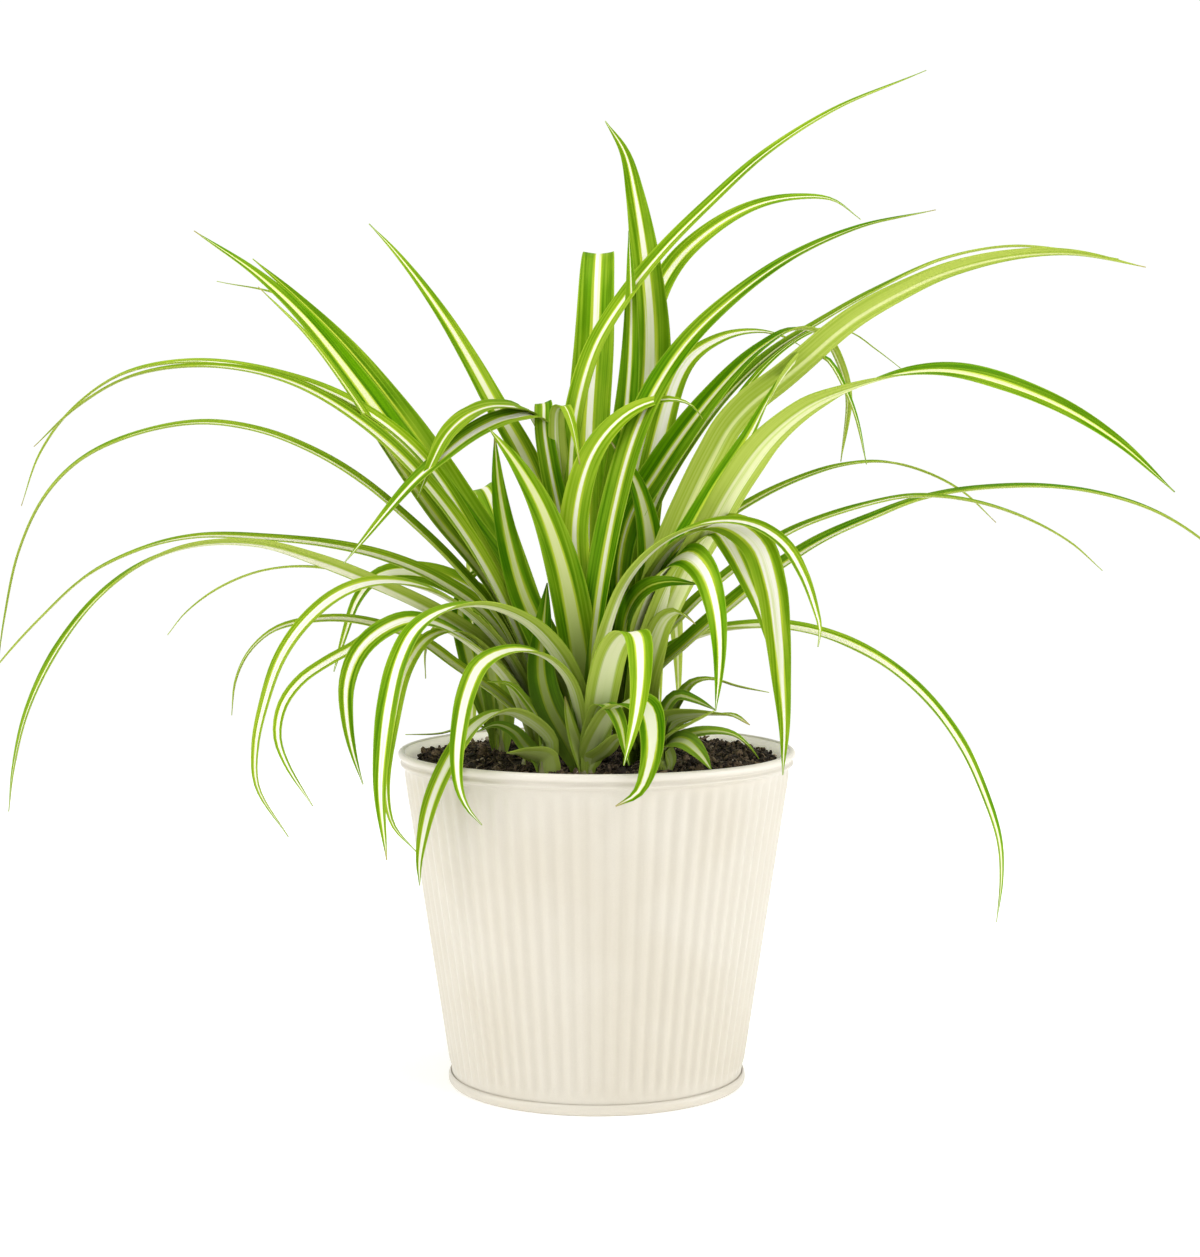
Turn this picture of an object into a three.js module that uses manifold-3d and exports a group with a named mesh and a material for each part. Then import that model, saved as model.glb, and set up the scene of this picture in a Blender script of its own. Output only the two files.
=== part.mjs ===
// Potted spider plant: variegated arching leaves in a ribbed sheet-metal cover pot.
// Millimetres, +Z up. The origin is the middle of the pot's underside, and the pot stands on z = 0.

import * as THREE from 'three';
import { mergeVertices } from 'three/addons/utils/BufferGeometryUtils.js';
import Module from 'manifold-3d';

const wasm = await Module();
wasm.setup();

// ---------------------------------------------------------------- pot and soil, driving sizes
const POT_HEIGHT = 122.5;
const RIM_RADIUS = 72.5;
const SHEET = 0.8;                    // thickness of the pot's sheet metal
const WALL_TOP_RADIUS = 69.7;         // middle of the fluted wall, just under the rim
const WALL_FOOT_RADIUS = 53.9;        // middle of the fluted wall, just above the foot
const FLUTE_TOP = 113.5;
const FLUTE_FOOT = 8.5;
const FLUTES = 72;
const FLUTE_DEPTH = 0.45;             // each way from the middle of the wall
const FOOT_RADIUS = 54.6;             // crimped ring round the base
const FOOT_HEIGHT = 4.0;
const GAP = 0.3;                      // running clearance between touching pieces

const SOIL_RADIUS = 68.0;             // where it is widest, against the wall
const SOIL_TOP_RADIUS = 65.2;         // where its crumbling edge starts
const SOIL_FOOT_RADIUS = 50.8;
const SOIL_WIDEST = 113.0;            // height of the widest place
const SOIL_EDGE = 119.6;              // height of the soil at its edge
const SOIL_DISH = 1.6;                // how far its middle lies below the edge

// ---------------------------------------------------------------- leaves, driving sizes
// A leaf's course is given as it looks to somebody standing EYE_DISTANCE in front of the pot's
// axis with their eye at EYE_HEIGHT: [sideways, height, depth], where the first two are read on
// the upright plane through the axis and the depth is how far the leaf stands out towards them.
const EYE_DISTANCE = 916;
const EYE_HEIGHT = 237;

const BLADE_THICKNESS = 0.9;          // at the midrib
const EDGE_THICKNESS = 0.65;
const TIP_WIDTH = 0.9;
const BASE_SHARE = 0.42;              // width of a leaf where it leaves the crown, of its greatest
const FULL_WIDTH_AT = 0.35;           // share of the length where a leaf is widest
const TAPER = 2.8;                    // the higher, the longer a leaf stays wide
const FOLD = [[0, 50], [0.12, 30], [0.35, 14], [0.6, 9], [1, 12]];   // lift of each half, degrees
const SECTION_LENGTH = 36;            // a leaf has a section for each such stretch
const FEWEST_SECTIONS = 5;
const SHORT_LEAF = 72;                // leaves shorter than this have fewer sections
const SHORT_LEAF_SECTIONS = 3;
const MOST_SECTIONS = 8;

const CROWN_FOOT = 104;               // the crowns stand in holes in the soil down to here
const CROWN_TOP = 129;
const LEAF_FOOT = 121.5;              // leaves start inside the crown, above the soil
const CROWN_SIDES = 10;
const HOLE_EASE = 0.8;                // the soil stands back from a crown by this

const GREEN = 0x6f9a1e;

// Each rosette: its crown's place and radius, then its leaves as
// [greatest width, turns, course]. The turns, in degrees and evenly spread from root to tip,
// roll the upper face towards the viewer.
const ROSETTES = [
  {
    name: 'rosette_front', x: -4, depth: 38, radius: 7,
    leaves: [
      [17, [20, 35, 30], [[-5, 140, 32], [-8, 165, 30], [-13, 190, 27], [-20, 210, 24],
        [-29, 226, 20], [-39, 239, 16]]],
      [13, [40, 60, 60], [[-9, 140, 24], [-18, 160, 20], [-27, 180, 16], [-32.5, 200, 13],
        [-35.5, 218, 11], [-37, 237, 9]]],
      [14, [20, 35, 35], [[-3, 140, 28], [-6, 175, 20], [-8, 205, 14], [-2, 229, 10], [8, 242, 8],
        [18, 248, 7], [28, 249.5, 7], [35, 247, 7], [38.5, 242.5, 7]]],
      [13, [20, 25, 10], [[-2, 130, 34], [-1, 160, 30], [2, 185, 25], [7, 212, 17], [14, 237, 9],
        [23, 256, 3], [34, 271.5, -3], [50, 286.5, -9], [70, 300.5, -15], [95, 311.5, -21],
        [122, 317.5, -26]]],
      [15, [10, 10, 9, 12, 18], [[0, 130, 36], [4, 162, 42], [12, 184, 48], [25, 198, 54],
        [42, 205, 62], [57, 204, 69], [68, 197, 74], [75, 186, 77], [79.5, 174, 79],
        [81.5, 166, 80], [80.8, 159.5, 80]]],
      [13, [-20, 0, 10], [[0, 122, 38], [2, 140, 46], [6, 157, 55], [11, 164.5, 66], [15, 163, 78],
        [16, 150, 85], [14.5, 135, 87], [10, 116, 86]]],
      [13, [0, 20, 30], [[0, 118, 38], [3, 130, 46], [8, 138, 54], [14, 139.5, 62], [19, 136, 70],
        [20.5, 126, 76], [19, 115, 78], [15, 106, 79], [7, 101, 78]]],
      [9, [0, 0, 20], [[-2, 118, 36], [-1, 130, 42], [2, 138.5, 49], [6, 136.5, 55], [9, 130, 59],
        [10.5, 122, 61], [12, 116, 62]]],
      [9, [-20, -20, 0], [[0, 116, 36], [3, 121, 42], [8, 126.5, 48], [15, 129, 54]]],
      [12, [15, 12, 8, 20, 22], [[-7, 130, 36], [-11, 147, 42], [-20, 156.5, 50], [-32, 158, 58],
        [-42, 153, 64], [-47, 143, 68], [-49.8, 130, 70], [-51, 117, 70], [-50, 107, 70],
        [-47, 100, 69], [-42, 94, 68]]],
      [17, [0, -8, -2, 22, 28], [[-6, 130, 32], [-13, 152, 36], [-26, 168, 42], [-42, 174.5, 50],
        [-56, 172.5, 57], [-66, 165.5, 63], [-72, 154, 67], [-75.5, 140, 69], [-78, 122, 69],
        [-79, 105, 68], [-77, 81, 66]]],
      [9, [60, 60, 60], [[-10, 125, 36], [-17, 138, 33], [-20, 150, 32], [-19.5, 166, 30],
        [-18, 183, 27]]],
      [7, [60, 60, 60], [[-5.4, 113, 39], [-8, 125, 42], [-10.5, 135, 42], [-11.5, 141.5, 41]]],
    ],
  },
  {
    name: 'rosette_small_left', x: -19, depth: 42, radius: 4.5,
    leaves: [
      [12, [-15, -18, 12, 28, 30], [[-15, 116, 37], [-18, 124, 39], [-25, 131.5, 42],
        [-34, 135.5, 46], [-43, 131.5, 51], [-50, 123.5, 54], [-56, 113, 57], [-60.5, 102, 58],
        [-63.5, 90, 59], [-65, 80, 59], [-65, 71.5, 58]]],
      [12, [-30, -40, -20], [[-15, 115, 40], [-19, 118, 43], [-26, 120.5, 46], [-33, 120.8, 49]]],
      [7, [20, 20, 10], [[-16, 118, 36], [-20, 130, 35], [-26, 140, 34], [-32, 146, 34],
        [-40, 147, 34]]],
      [8, [30, 30, 30], [[-21, 118, 40], [-26.5, 124, 36], [-30.4, 128.5, 34], [-36.5, 131, 33],
        [-43.8, 128.5, 33]]],
    ],
  },
  {
    name: 'rosette_left', x: -24, depth: 8, radius: 7.5,
    leaves: [
      [15, [20, 35, 20], [[-24, 150, 2], [-33, 184, -4], [-52, 216, -14], [-70, 243, -22],
        [-90, 268, -30], [-108, 286, -36], [-124, 300, -40]]],
      [18, [30, 40, 20], [[-23, 148, 6], [-33, 180, 4], [-51, 206, 2], [-68, 229, 0],
        [-85, 253, -3], [-105, 278, -6], [-122, 294, -8], [-145, 310, -10]]],
      [11, [20, 30, 10], [[-24, 145, 10], [-38, 180, 14], [-58, 206, 16], [-75, 230, 17],
        [-90, 253, 17], [-105, 273, 16], [-122, 290, 14]]],
      [8, [0, 10, 0], [[-24, 150, -2], [-40, 200, -14], [-62, 236, -26], [-88, 264, -36],
        [-112, 286, -42], [-137, 292, -46]]],
      [11, [17, 20, 16, 10, 10], [[-24, 150, 6], [-45, 200, 10], [-66, 231, 12], [-92, 250, 12],
        [-125, 261, 9], [-150, 263, 6], [-172, 258.5, 3], [-190, 246, 0], [-202, 230, -2],
        [-209, 211, -4]]],
      [13, [20, 20, 0], [[-24, 146, 12], [-42, 190, 20], [-63, 220, 24], [-85, 241, 24],
        [-110, 255.5, 21], [-140, 261.5, 17], [-168, 258, 13], [-188, 247, 10], [-204, 232.5, 8]]],
      [11, [10, 10, 10], [[-24, 140, 8], [-33, 165, 14], [-51, 188, 20], [-68, 205, 24],
        [-85, 219.5, 26], [-103, 230.5, 27], [-122, 238, 27], [-143, 241, 26], [-165, 237.5, 24],
        [-186, 228.5, 22], [-200, 215, 20], [-210, 195, 18], [-216, 170, 16], [-219, 150, 15]]],
      [11, [10, 15, 0, 6, 12], [[-24, 140, 4], [-38, 168, 2], [-57, 183, -2], [-76, 191.5, -6],
        [-97, 196.5, -10], [-120, 199, -14], [-145, 199.8, -17], [-165, 195.5, -20],
        [-185, 186, -22], [-203, 170, -24], [-217, 155, -25], [-226, 143, -26]]],
      [14, [-18, -15, 0, 18, 20], [[-24, 135, 8], [-38, 156, 14], [-60, 171.5, 22],
        [-80, 181.5, 28], [-101, 190, 33], [-123, 196.5, 37], [-146, 196.5, 40], [-165, 190, 42],
        [-182, 177, 43], [-197, 158, 44], [-208, 136, 45], [-213.5, 115, 45], [-215.5, 99, 45]]],
      [6, [0, 0, 0], [[-24, 135, 2], [-40, 160, -2], [-62, 176, -8], [-85, 185.5, -14],
        [-105, 189, -18], [-122, 187.5, -22], [-138, 181, -25], [-150, 172, -27], [-156.5, 164, -28]]],
      [13, [10, 10, 12, 4, 2], [[-24, 135, 12], [-34, 157, 22], [-50, 174, 32], [-65, 181.5, 40],
        [-80, 183, 47], [-93, 179, 53], [-105, 169.5, 58], [-115, 155.5, 62], [-121, 139, 64],
        [-124.5, 123, 65], [-124, 108, 65], [-113, 89.5, 64]]],
      [11, [0, 10, 30], [[-24, 128, 2], [-36, 141, 0], [-50, 151, -4], [-65, 162, -8],
        [-80, 167.5, -12], [-93, 169.8, -15], [-106, 169, -18], [-118, 165.5, -20],
        [-127, 157.5, -21], [-132, 147, -22], [-133.5, 134.5, -22]]],
      [11, [0, 10, 30], [[-24, 130, 10], [-36, 150, 16], [-52, 164, 22], [-66, 169, 27],
        [-78, 166, 31], [-88, 159.5, 34], [-98, 154, 37], [-108, 147, 40], [-114.5, 138, 42],
        [-116.5, 127, 43], [-113.5, 117, 43], [-104, 101, 42]]],
      [11, [10, 30, 40], [[-24, 130, 16], [-36, 152, 28], [-52, 165, 40], [-67, 169.5, 50],
        [-79, 165, 57], [-87, 157, 61], [-91, 146, 63], [-91, 133, 64], [-89, 121, 64],
        [-85.5, 109, 63]]],
      [13, [0, 40, 75], [[-24, 140, 0], [-38, 172, -6], [-55, 184, -12], [-69, 187, -18],
        [-80, 185, -22], [-87, 177, -25], [-91.5, 165, -27], [-96, 150.5, -28]]],
      [4, [0, 0, 0], [[-24, 132, -6], [-38, 158, -14], [-52, 170, -22], [-59, 167, -28],
        [-62.5, 158, -32], [-62.5, 148, -33]]],
      [8, [0, 10, 20], [[-25, 126, 14], [-36, 152, 24], [-50, 165, 34], [-61, 163, 42],
        [-69, 152, 48], [-74, 132, 51], [-77, 108, 52], [-74.5, 94, 52], [-66, 84, 51]]],
    ],
  },
  {
    name: 'rosette_right', x: 15, depth: 8, radius: 7.5,
    leaves: [
      [15, [50, 60, 60], [[14, 145, 6], [18, 170, 8], [19.5, 190, 9], [18, 206, 9], [13.5, 221, 8],
        [5, 234.5, 6]]],
      [14, [10, 30, 20], [[14, 150, -2], [17, 195, -8], [22, 232, -14], [32, 262, -20],
        [45, 271.5, -25], [58, 274, -30], [68, 272, -34], [75, 268, -37]]],
      [15, [20, 28, 30, 0, -10], [[12, 145, 4], [8, 185, 6], [12, 206, 4], [22, 223, 0],
        [36, 243, -5], [49, 258.5, -10], [60, 268.5, -14], [72, 275, -18], [82, 272, -22],
        [88, 262, -25], [91, 250, -27], [88.5, 227, -29]]],
      [12, [10, 16, 8, -2, 4], [[15, 145, 0], [15, 180, -2], [21, 210, -6], [35, 235, -11],
        [50, 254, -16], [65, 267.5, -21], [80, 277, -26], [100, 288.5, -31], [125, 300, -37],
        [148, 304.5, -42], [170, 303, -46], [188, 300, -49]]],
      [15, [-42, -44, -46, -40, -35, -20], [[17, 145, 4], [22, 180, 12], [29, 200, 18],
        [36, 216, 22], [43, 230, 26], [48, 239, 29], [55.5, 247.5, 32], [67, 256.5, 36],
        [76.5, 264.5, 40], [85, 272, 42], [95, 279.5, 42], [110, 288, 41], [127, 295.5, 41],
        [150, 301, 41], [172, 302, 40], [198, 297, 40]]],
      [15, [60, 60, 52, 40, 0, 0], [[16, 140, 12], [25, 183, 28], [37, 206, 38], [45, 220, 43],
        [54.5, 234.5, 46], [62, 249, 46], [68, 259, 43], [76, 266, 36], [83, 264, 34],
        [89, 255, 36], [94, 243, 38], [98, 226, 40]]],
      [18, [-6, -8, -12, -16, -18, -10, 16, 30, 30, 30], [[17, 140, 14], [29, 175, 32],
        [44.5, 206, 48], [52.5, 220, 56], [63, 234.5, 64], [77.5, 246.5, 73], [92, 253.3, 81],
        [110, 258.5, 88], [128, 259.5, 95], [148, 255, 101], [170, 246, 107], [190, 233.5, 112],
        [210, 216, 116]]],
      [8, [0, 10, 0], [[15, 140, -6], [22, 180, -14], [40, 201, -22], [58, 213.5, -29],
        [75, 221.5, -35], [90, 226, -40], [105, 227, -45], [120, 223, -49], [133, 216, -52],
        [145, 205, -54]]],
      [14, [5, 10, 0, 8, 16], [[16, 128, 2], [20, 147, -1], [33, 160, -6], [48, 173, -11],
        [63, 185.5, -16], [80, 197, -21], [100, 206.5, -27], [120, 214, -32], [150, 218, -38],
        [180, 216, -43], [205, 208, -46], [226, 194, -48], [243, 177, -49]]],
      [12, [5, 8, 2, 6, 10], [[16, 130, 6], [22, 158, 6], [33, 172, 4], [47, 185, 1],
        [60, 195, -2], [75, 203.5, -6], [95, 210.5, -10], [115, 214.5, -14], [135, 213, -18],
        [155, 207, -21], [172, 198, -23], [184, 187.5, -24]]],
      [14, [5, -6, 26, 48, 60], [[15, 126, -8], [18, 144, -14], [26, 157, -20], [38, 163.5, -26],
        [52, 166.5, -31], [70, 166.5, -36], [88, 162, -40], [105, 153.5, -43], [120, 141, -45],
        [133, 124, -47], [142, 105, -48], [147.5, 88, -49], [148.5, 74, -49], [147, 58, -49]]],
      [5, [0, 10, 20], [[16, 140, -14], [30, 205, -30], [55, 255, -44], [78, 274, -54],
        [91, 274, -60], [101, 267.5, -64], [111.5, 259.5, -68]]],
      [16, [32, 30, 22, 45, 50], [[14, 135, 14], [15, 165, 24], [22, 187, 34], [33, 200, 44],
        [47, 204, 53], [58, 197, 60], [63.5, 182, 64], [66, 165, 66], [67.5, 148, 67],
        [68.7, 130, 67], [68.2, 112.5, 66]]],
      [14, [-8, -8, 0, 40, 50], [[15, 130, 20], [20, 160, 30], [28, 183, 37], [37, 197, 43],
        [44, 202, 47], [49, 196, 50], [55, 184, 52], [60, 172, 53], [64, 156, 54]]],
      [15, [-10, 40, 60], [[12, 125, 18], [13, 150, 26], [18, 174, 34], [25, 188, 42],
        [33, 192.7, 52], [39.5, 187, 62], [43.5, 175, 68], [45, 161, 70], [44.7, 148, 71],
        [43.5, 136, 71]]],
      [13, [60, 70, 100, 95, 60], [[11, 128, 18], [10, 155, 28], [11, 171, 36], [17, 180.5, 47],
        [26, 183.5, 56], [37, 182.5, 59]]],
      [14, [-40, -50, -20], [[16, 130, 18], [16.5, 145, 26], [20.5, 160, 33], [25, 170, 38],
        [30, 172.5, 42], [36, 168, 46]]],
      [11, [0, 0, 0], [[15, 140, -4], [18, 172, -20], [22, 188, -46], [26, 184, -80],
        [29, 164, -106], [30, 134, -116]]],
    ],
  },
  {
    name: 'rosette_back', x: -3, depth: -20, radius: 7.5,
    leaves: [
      [13, [20, 45, 30], [[-6, 150, -22], [-14, 195, -24], [-26, 228, -27], [-37, 247.5, -30],
        [-45, 262, -32], [-54, 277, -34], [-64, 291.5, -36], [-74, 304, -38], [-82, 312.5, -40]]],
      [18, [0, 20, 30, 8, 40], [[-6, 145, -22], [-11, 190, -26], [-16, 225, -28], [-24, 244, -24],
        [-34, 247, -12], [-45, 244.5, 8], [-54, 237, 24], [-60, 226, 36], [-65, 214, 43]]],
      [16, [20, 25, 20, 15, 8], [[-6, 140, -22], [-10, 190, -24], [-14, 225, -26], [-22, 243, -20],
        [-31, 243, -8], [-39.5, 240, 6], [-48, 235, 20], [-56, 228.6, 32], [-67.4, 218.5, 42],
        [-92, 190, 52]]],
      [9, [0, 0, 15, 20], [[-5, 150, -18], [-12, 200, -14], [-17, 225, -12], [-19, 238, -14],
        [-19.2, 247.5, -22], [-20, 246, -36], [-20, 232, -56], [-19, 205, -76]]],
      [11, [0, 0, 0], [[-9, 150, -20], [-11, 190, -18], [-13, 220, -16], [-14.5, 238, -12],
        [-14, 246, -6], [-11.5, 247, 0], [-9, 241, 5], [-7.5, 234, 8], [-6.1, 226, 10]]],
      [13, [30, 20, 10], [[-4, 150, -18], [-9, 200, -14], [-8, 240, -14], [-1, 267, -18],
        [11, 287, -23], [24, 303, -28], [41, 320, -34], [60, 337, -40], [85, 353, -47],
        [118, 367, -55]]],
      [21, [40, 55, 45], [[1, 145, -24], [7, 190, -28], [14, 225, -30], [18.5, 250, -32],
        [19.5, 275, -34], [17.5, 300, -36], [14, 322, -38], [10, 338, -40], [3, 349, -42]]],
      [13, [50, 65, 60], [[-1, 150, -14], [4, 195, -15], [9.5, 235, -17], [12, 262, -19],
        [12.5, 285, -21], [11.5, 310, -23]]],
      [18, [0, 0, 0], [[-3, 150, -34], [-4, 200, -46], [-3, 240, -56], [-1, 270, -64],
        [0, 293, -74], [0.5, 301.5, -90], [0.5, 296, -116], [0, 275, -142], [0, 245, -160]]],
      [13, [10, 40, 40], [[1, 150, -30], [8, 200, -40], [14, 248, -50], [20, 282, -56],
        [28, 298, -60], [42, 311, -64], [57, 319, -68], [72, 322, -72], [85, 321, -75],
        [95, 314, -77]]],
      [12, [0, 0, 25, 35], [[-14, 150, -34], [-24, 172, -48], [-31, 192, -66], [-37, 210, -86],
        [-41, 217.5, -104], [-44, 212, -126], [-46, 192, -144], [-46, 165, -152]]],
      [12, [0, 0, 0], [[-1, 150, -30], [3, 190, -50], [6, 206, -82], [8, 200, -118],
        [9, 178, -145], [9, 150, -156]]],
      [11, [0, 0, 0], [[2, 145, -26], [8, 178, -44], [14, 190, -74], [19, 184, -108],
        [22, 162, -134], [23, 132, -142]]],
      [10, [0, 0, 0], [[-4, 140, -34], [-8, 160, -54], [-11, 166, -82], [-13, 152, -106],
        [-14, 126, -116], [-14, 100, -118]]],
    ],
  },
  {
    name: 'rosette_low_right', x: 24, depth: 33, radius: 4.5,
    leaves: [
      [11, [10, 30, 20], [[24, 128, 31], [25.5, 137, 28], [29.5, 141.5, 28], [36, 140, 30],
        [43.5, 136.5, 33]]],
      [7, [0, 10, 0], [[25, 128, 31], [29.5, 139, 24], [35, 146.5, 19], [42, 148, 16],
        [51, 145.5, 14], [63, 143, 12]]],
      [14, [-40, -30, 10], [[23, 125, 28], [27, 132, 31], [35, 134.5, 35], [44, 135, 39],
        [50, 134.5, 42], [56, 131, 45]]],
      [9, [20, 20, 0], [[22, 120, 30], [26, 127, 36], [34, 131.5, 42], [43.5, 136.5, 48]]],
      [12, [10, 30, 20], [[24, 120, 34], [27, 124.5, 36], [32, 125, 40], [38, 120, 45],
        [42, 114.5, 48]]],
      [9, [10, 20, 10], [[25, 121, 32], [30, 125.5, 30], [40, 128.5, 28], [50, 127.5, 28],
        [56, 123, 28], [59.5, 118.5, 28]]],
    ],
  },
  {
    name: 'rosette_far_left', x: -36, depth: -22, radius: 4.5,
    leaves: [
      [13, [40, 40, 30], [[-35, 124, -22], [-36, 138, -22], [-39, 152, -24], [-42, 168, -26],
        [-45, 182, -28]]],
      [11, [30, 40, 30], [[-37, 124, -22], [-42, 142, -24], [-47, 158, -27], [-50, 173, -30],
        [-47, 184, -32], [-38.5, 191, -33]]],
      [3, [0, 0, 0], [[-37, 128, -22], [-46, 131, -18], [-57, 128, -14], [-70, 127.5, -12]]],
      [11, [0, 0, 0], [[-34, 140, -24], [-38, 165, -40], [-42, 174, -66], [-45, 165, -92],
        [-46, 140, -108], [-46, 112, -112]]],
    ],
  },
];

// ---------------------------------------------------------------- helpers
function toManifold(geometry) {
  const bare = geometry.index ? geometry.toNonIndexed() : geometry.clone();
  bare.deleteAttribute('normal');
  bare.deleteAttribute('uv');
  const merged = mergeVertices(bare, 1e-4);
  return new wasm.Manifold(new wasm.Mesh({
    numProp: 3,
    vertProperties: new Float32Array(merged.attributes.position.array),
    triVerts: new Uint32Array(merged.index.array),
  }));
}

function toGeometry(manifold) {
  const { vertProperties, triVerts } = manifold.getMesh();
  const geometry = new THREE.BufferGeometry();
  geometry.setAttribute('position', new THREE.BufferAttribute(new Float32Array(vertProperties), 3));
  geometry.setIndex(new THREE.BufferAttribute(new Uint32Array(triVerts), 1));
  geometry.computeVertexNormals();
  return geometry;
}

// A turned profile of [radius, height] points, stood upright.
function turned(points, sides) {
  const profile = points.map(([radius, height]) => new THREE.Vector2(radius, height));
  const geometry = new THREE.LatheGeometry(profile, sides);
  geometry.rotateX(Math.PI / 2);
  return geometry;
}

function lerpTable(table, at) {
  let i = 1;
  while (i < table.length - 1 && at > table[i][0]) i += 1;
  const [[x0, y0], [x1, y1]] = [table[i - 1], table[i]];
  return y0 + (y1 - y0) * (at - x0) / (x1 - x0);
}

// ---------------------------------------------------------------- pot
// The fluted wall runs from the crimp at the foot to the rolled rim. Every second point round it
// is the crest of a flute, and the sheet keeps its thickness.
function potWall() {
  const profile = [
    [53.3, 1.5],
    [53.4, 6.5],
    [WALL_FOOT_RADIUS, FLUTE_FOOT, 1],
    [WALL_TOP_RADIUS, FLUTE_TOP, 1],
    [70.0, 117.2],
    [71.9, 118.2],
    [RIM_RADIUS, 120.8],
    [71.5, POT_HEIGHT],
    [69.2, 119.6],
    [WALL_TOP_RADIUS - SHEET, FLUTE_TOP, 1],
    [WALL_FOOT_RADIUS - SHEET, FLUTE_FOOT, 1],
    [53.3 - SHEET, 1.5],
  ];
  profile.push(profile[0]);
  const geometry = turned(profile, 2 * FLUTES);
  const position = geometry.attributes.position;
  for (let i = 0; i < position.count; i += 1) {
    const fluted = profile[i % profile.length][2];
    if (!fluted) continue;
    const step = Math.floor(i / profile.length);
    const x = position.getX(i);
    const y = position.getY(i);
    const radius = Math.hypot(x, y);
    const swell = (radius + (step % 2 ? -FLUTE_DEPTH : FLUTE_DEPTH)) / radius;
    position.setX(i, x * swell);
    position.setY(i, y * swell);
  }
  return toGeometry(toManifold(geometry));
}

// The base is a pressed pan. Its edge is folded into the foot ring, and the wall stands in the fold.
function potBase() {
  const geometry = turned([
    [0, 0],
    [53.0, 0],
    [54.2, 0.8],
    [FOOT_RADIUS, 2.0],
    [54.3, 3.4],
    [53.6, FOOT_HEIGHT],
    [53.6, 1.2],
    [52.2, 1.2],
    [52.2, 5.0],
    [51.4, 5.0],
    [51.4, 1.0],
    [0, 1.0],
  ], 36);
  return toGeometry(toManifold(geometry));
}

// ---------------------------------------------------------------- soil
function soilHeight(x, y) {
  const radius = Math.hypot(x, y);
  const dished = SOIL_EDGE - SOIL_DISH * (1 - (radius / SOIL_TOP_RADIUS) ** 2);
  const lumps = 0.35 * Math.sin(x * 0.23 + 1.3) * Math.cos(y * 0.19 - 0.4)
    + 0.2 * Math.sin(x * 0.51 - y * 0.37);
  return dished + lumps;
}

function soil() {
  const rings = [54, 40, 24];
  const geometry = turned([
    [0, 1.0 + GAP],
    [SOIL_FOOT_RADIUS, 1.0 + GAP],
    [SOIL_FOOT_RADIUS, 5.6],
    [SOIL_RADIUS, SOIL_WIDEST],
    [SOIL_TOP_RADIUS + 1.6, SOIL_EDGE - 2.4],
    [SOIL_TOP_RADIUS, SOIL_EDGE],
    ...rings.map((radius) => [radius, SOIL_EDGE]),
    [0, SOIL_EDGE],
  ], 32);
  const position = geometry.attributes.position;
  for (let i = 0; i < position.count; i += 1) {
    if (position.getZ(i) < SOIL_EDGE - 1) continue;
    position.setZ(i, soilHeight(position.getX(i), position.getY(i)));
  }
  let solid = toManifold(geometry);
  for (const { x, depth, radius } of ROSETTES) {
    const height = CROWN_TOP - CROWN_FOOT + GAP;
    const hole = new THREE.CylinderGeometry(radius + HOLE_EASE, radius + HOLE_EASE, height, CROWN_SIDES);
    hole.rotateX(Math.PI / 2);
    hole.translate(x, -depth, CROWN_FOOT - GAP + height / 2);
    solid = solid.subtract(toManifold(hole));
  }
  return toGeometry(solid);
}

// ---------------------------------------------------------------- leaves
// From the course as seen to the real place.
function place([sideways, height, depth]) {
  const nearness = (EYE_DISTANCE - depth) / EYE_DISTANCE;
  return new THREE.Vector3(
    sideways * nearness,
    -depth,
    EYE_HEIGHT + (height - EYE_HEIGHT) * nearness,
  );
}

function leafWidth(width, at) {
  const rise = Math.min(at / FULL_WIDTH_AT, 1);
  const body = BASE_SHARE + (1 - BASE_SHARE) * rise * (2 - rise);
  return Math.max(width * body * (1 - at ** TAPER) ** 0.9, TIP_WIDTH);
}

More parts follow.
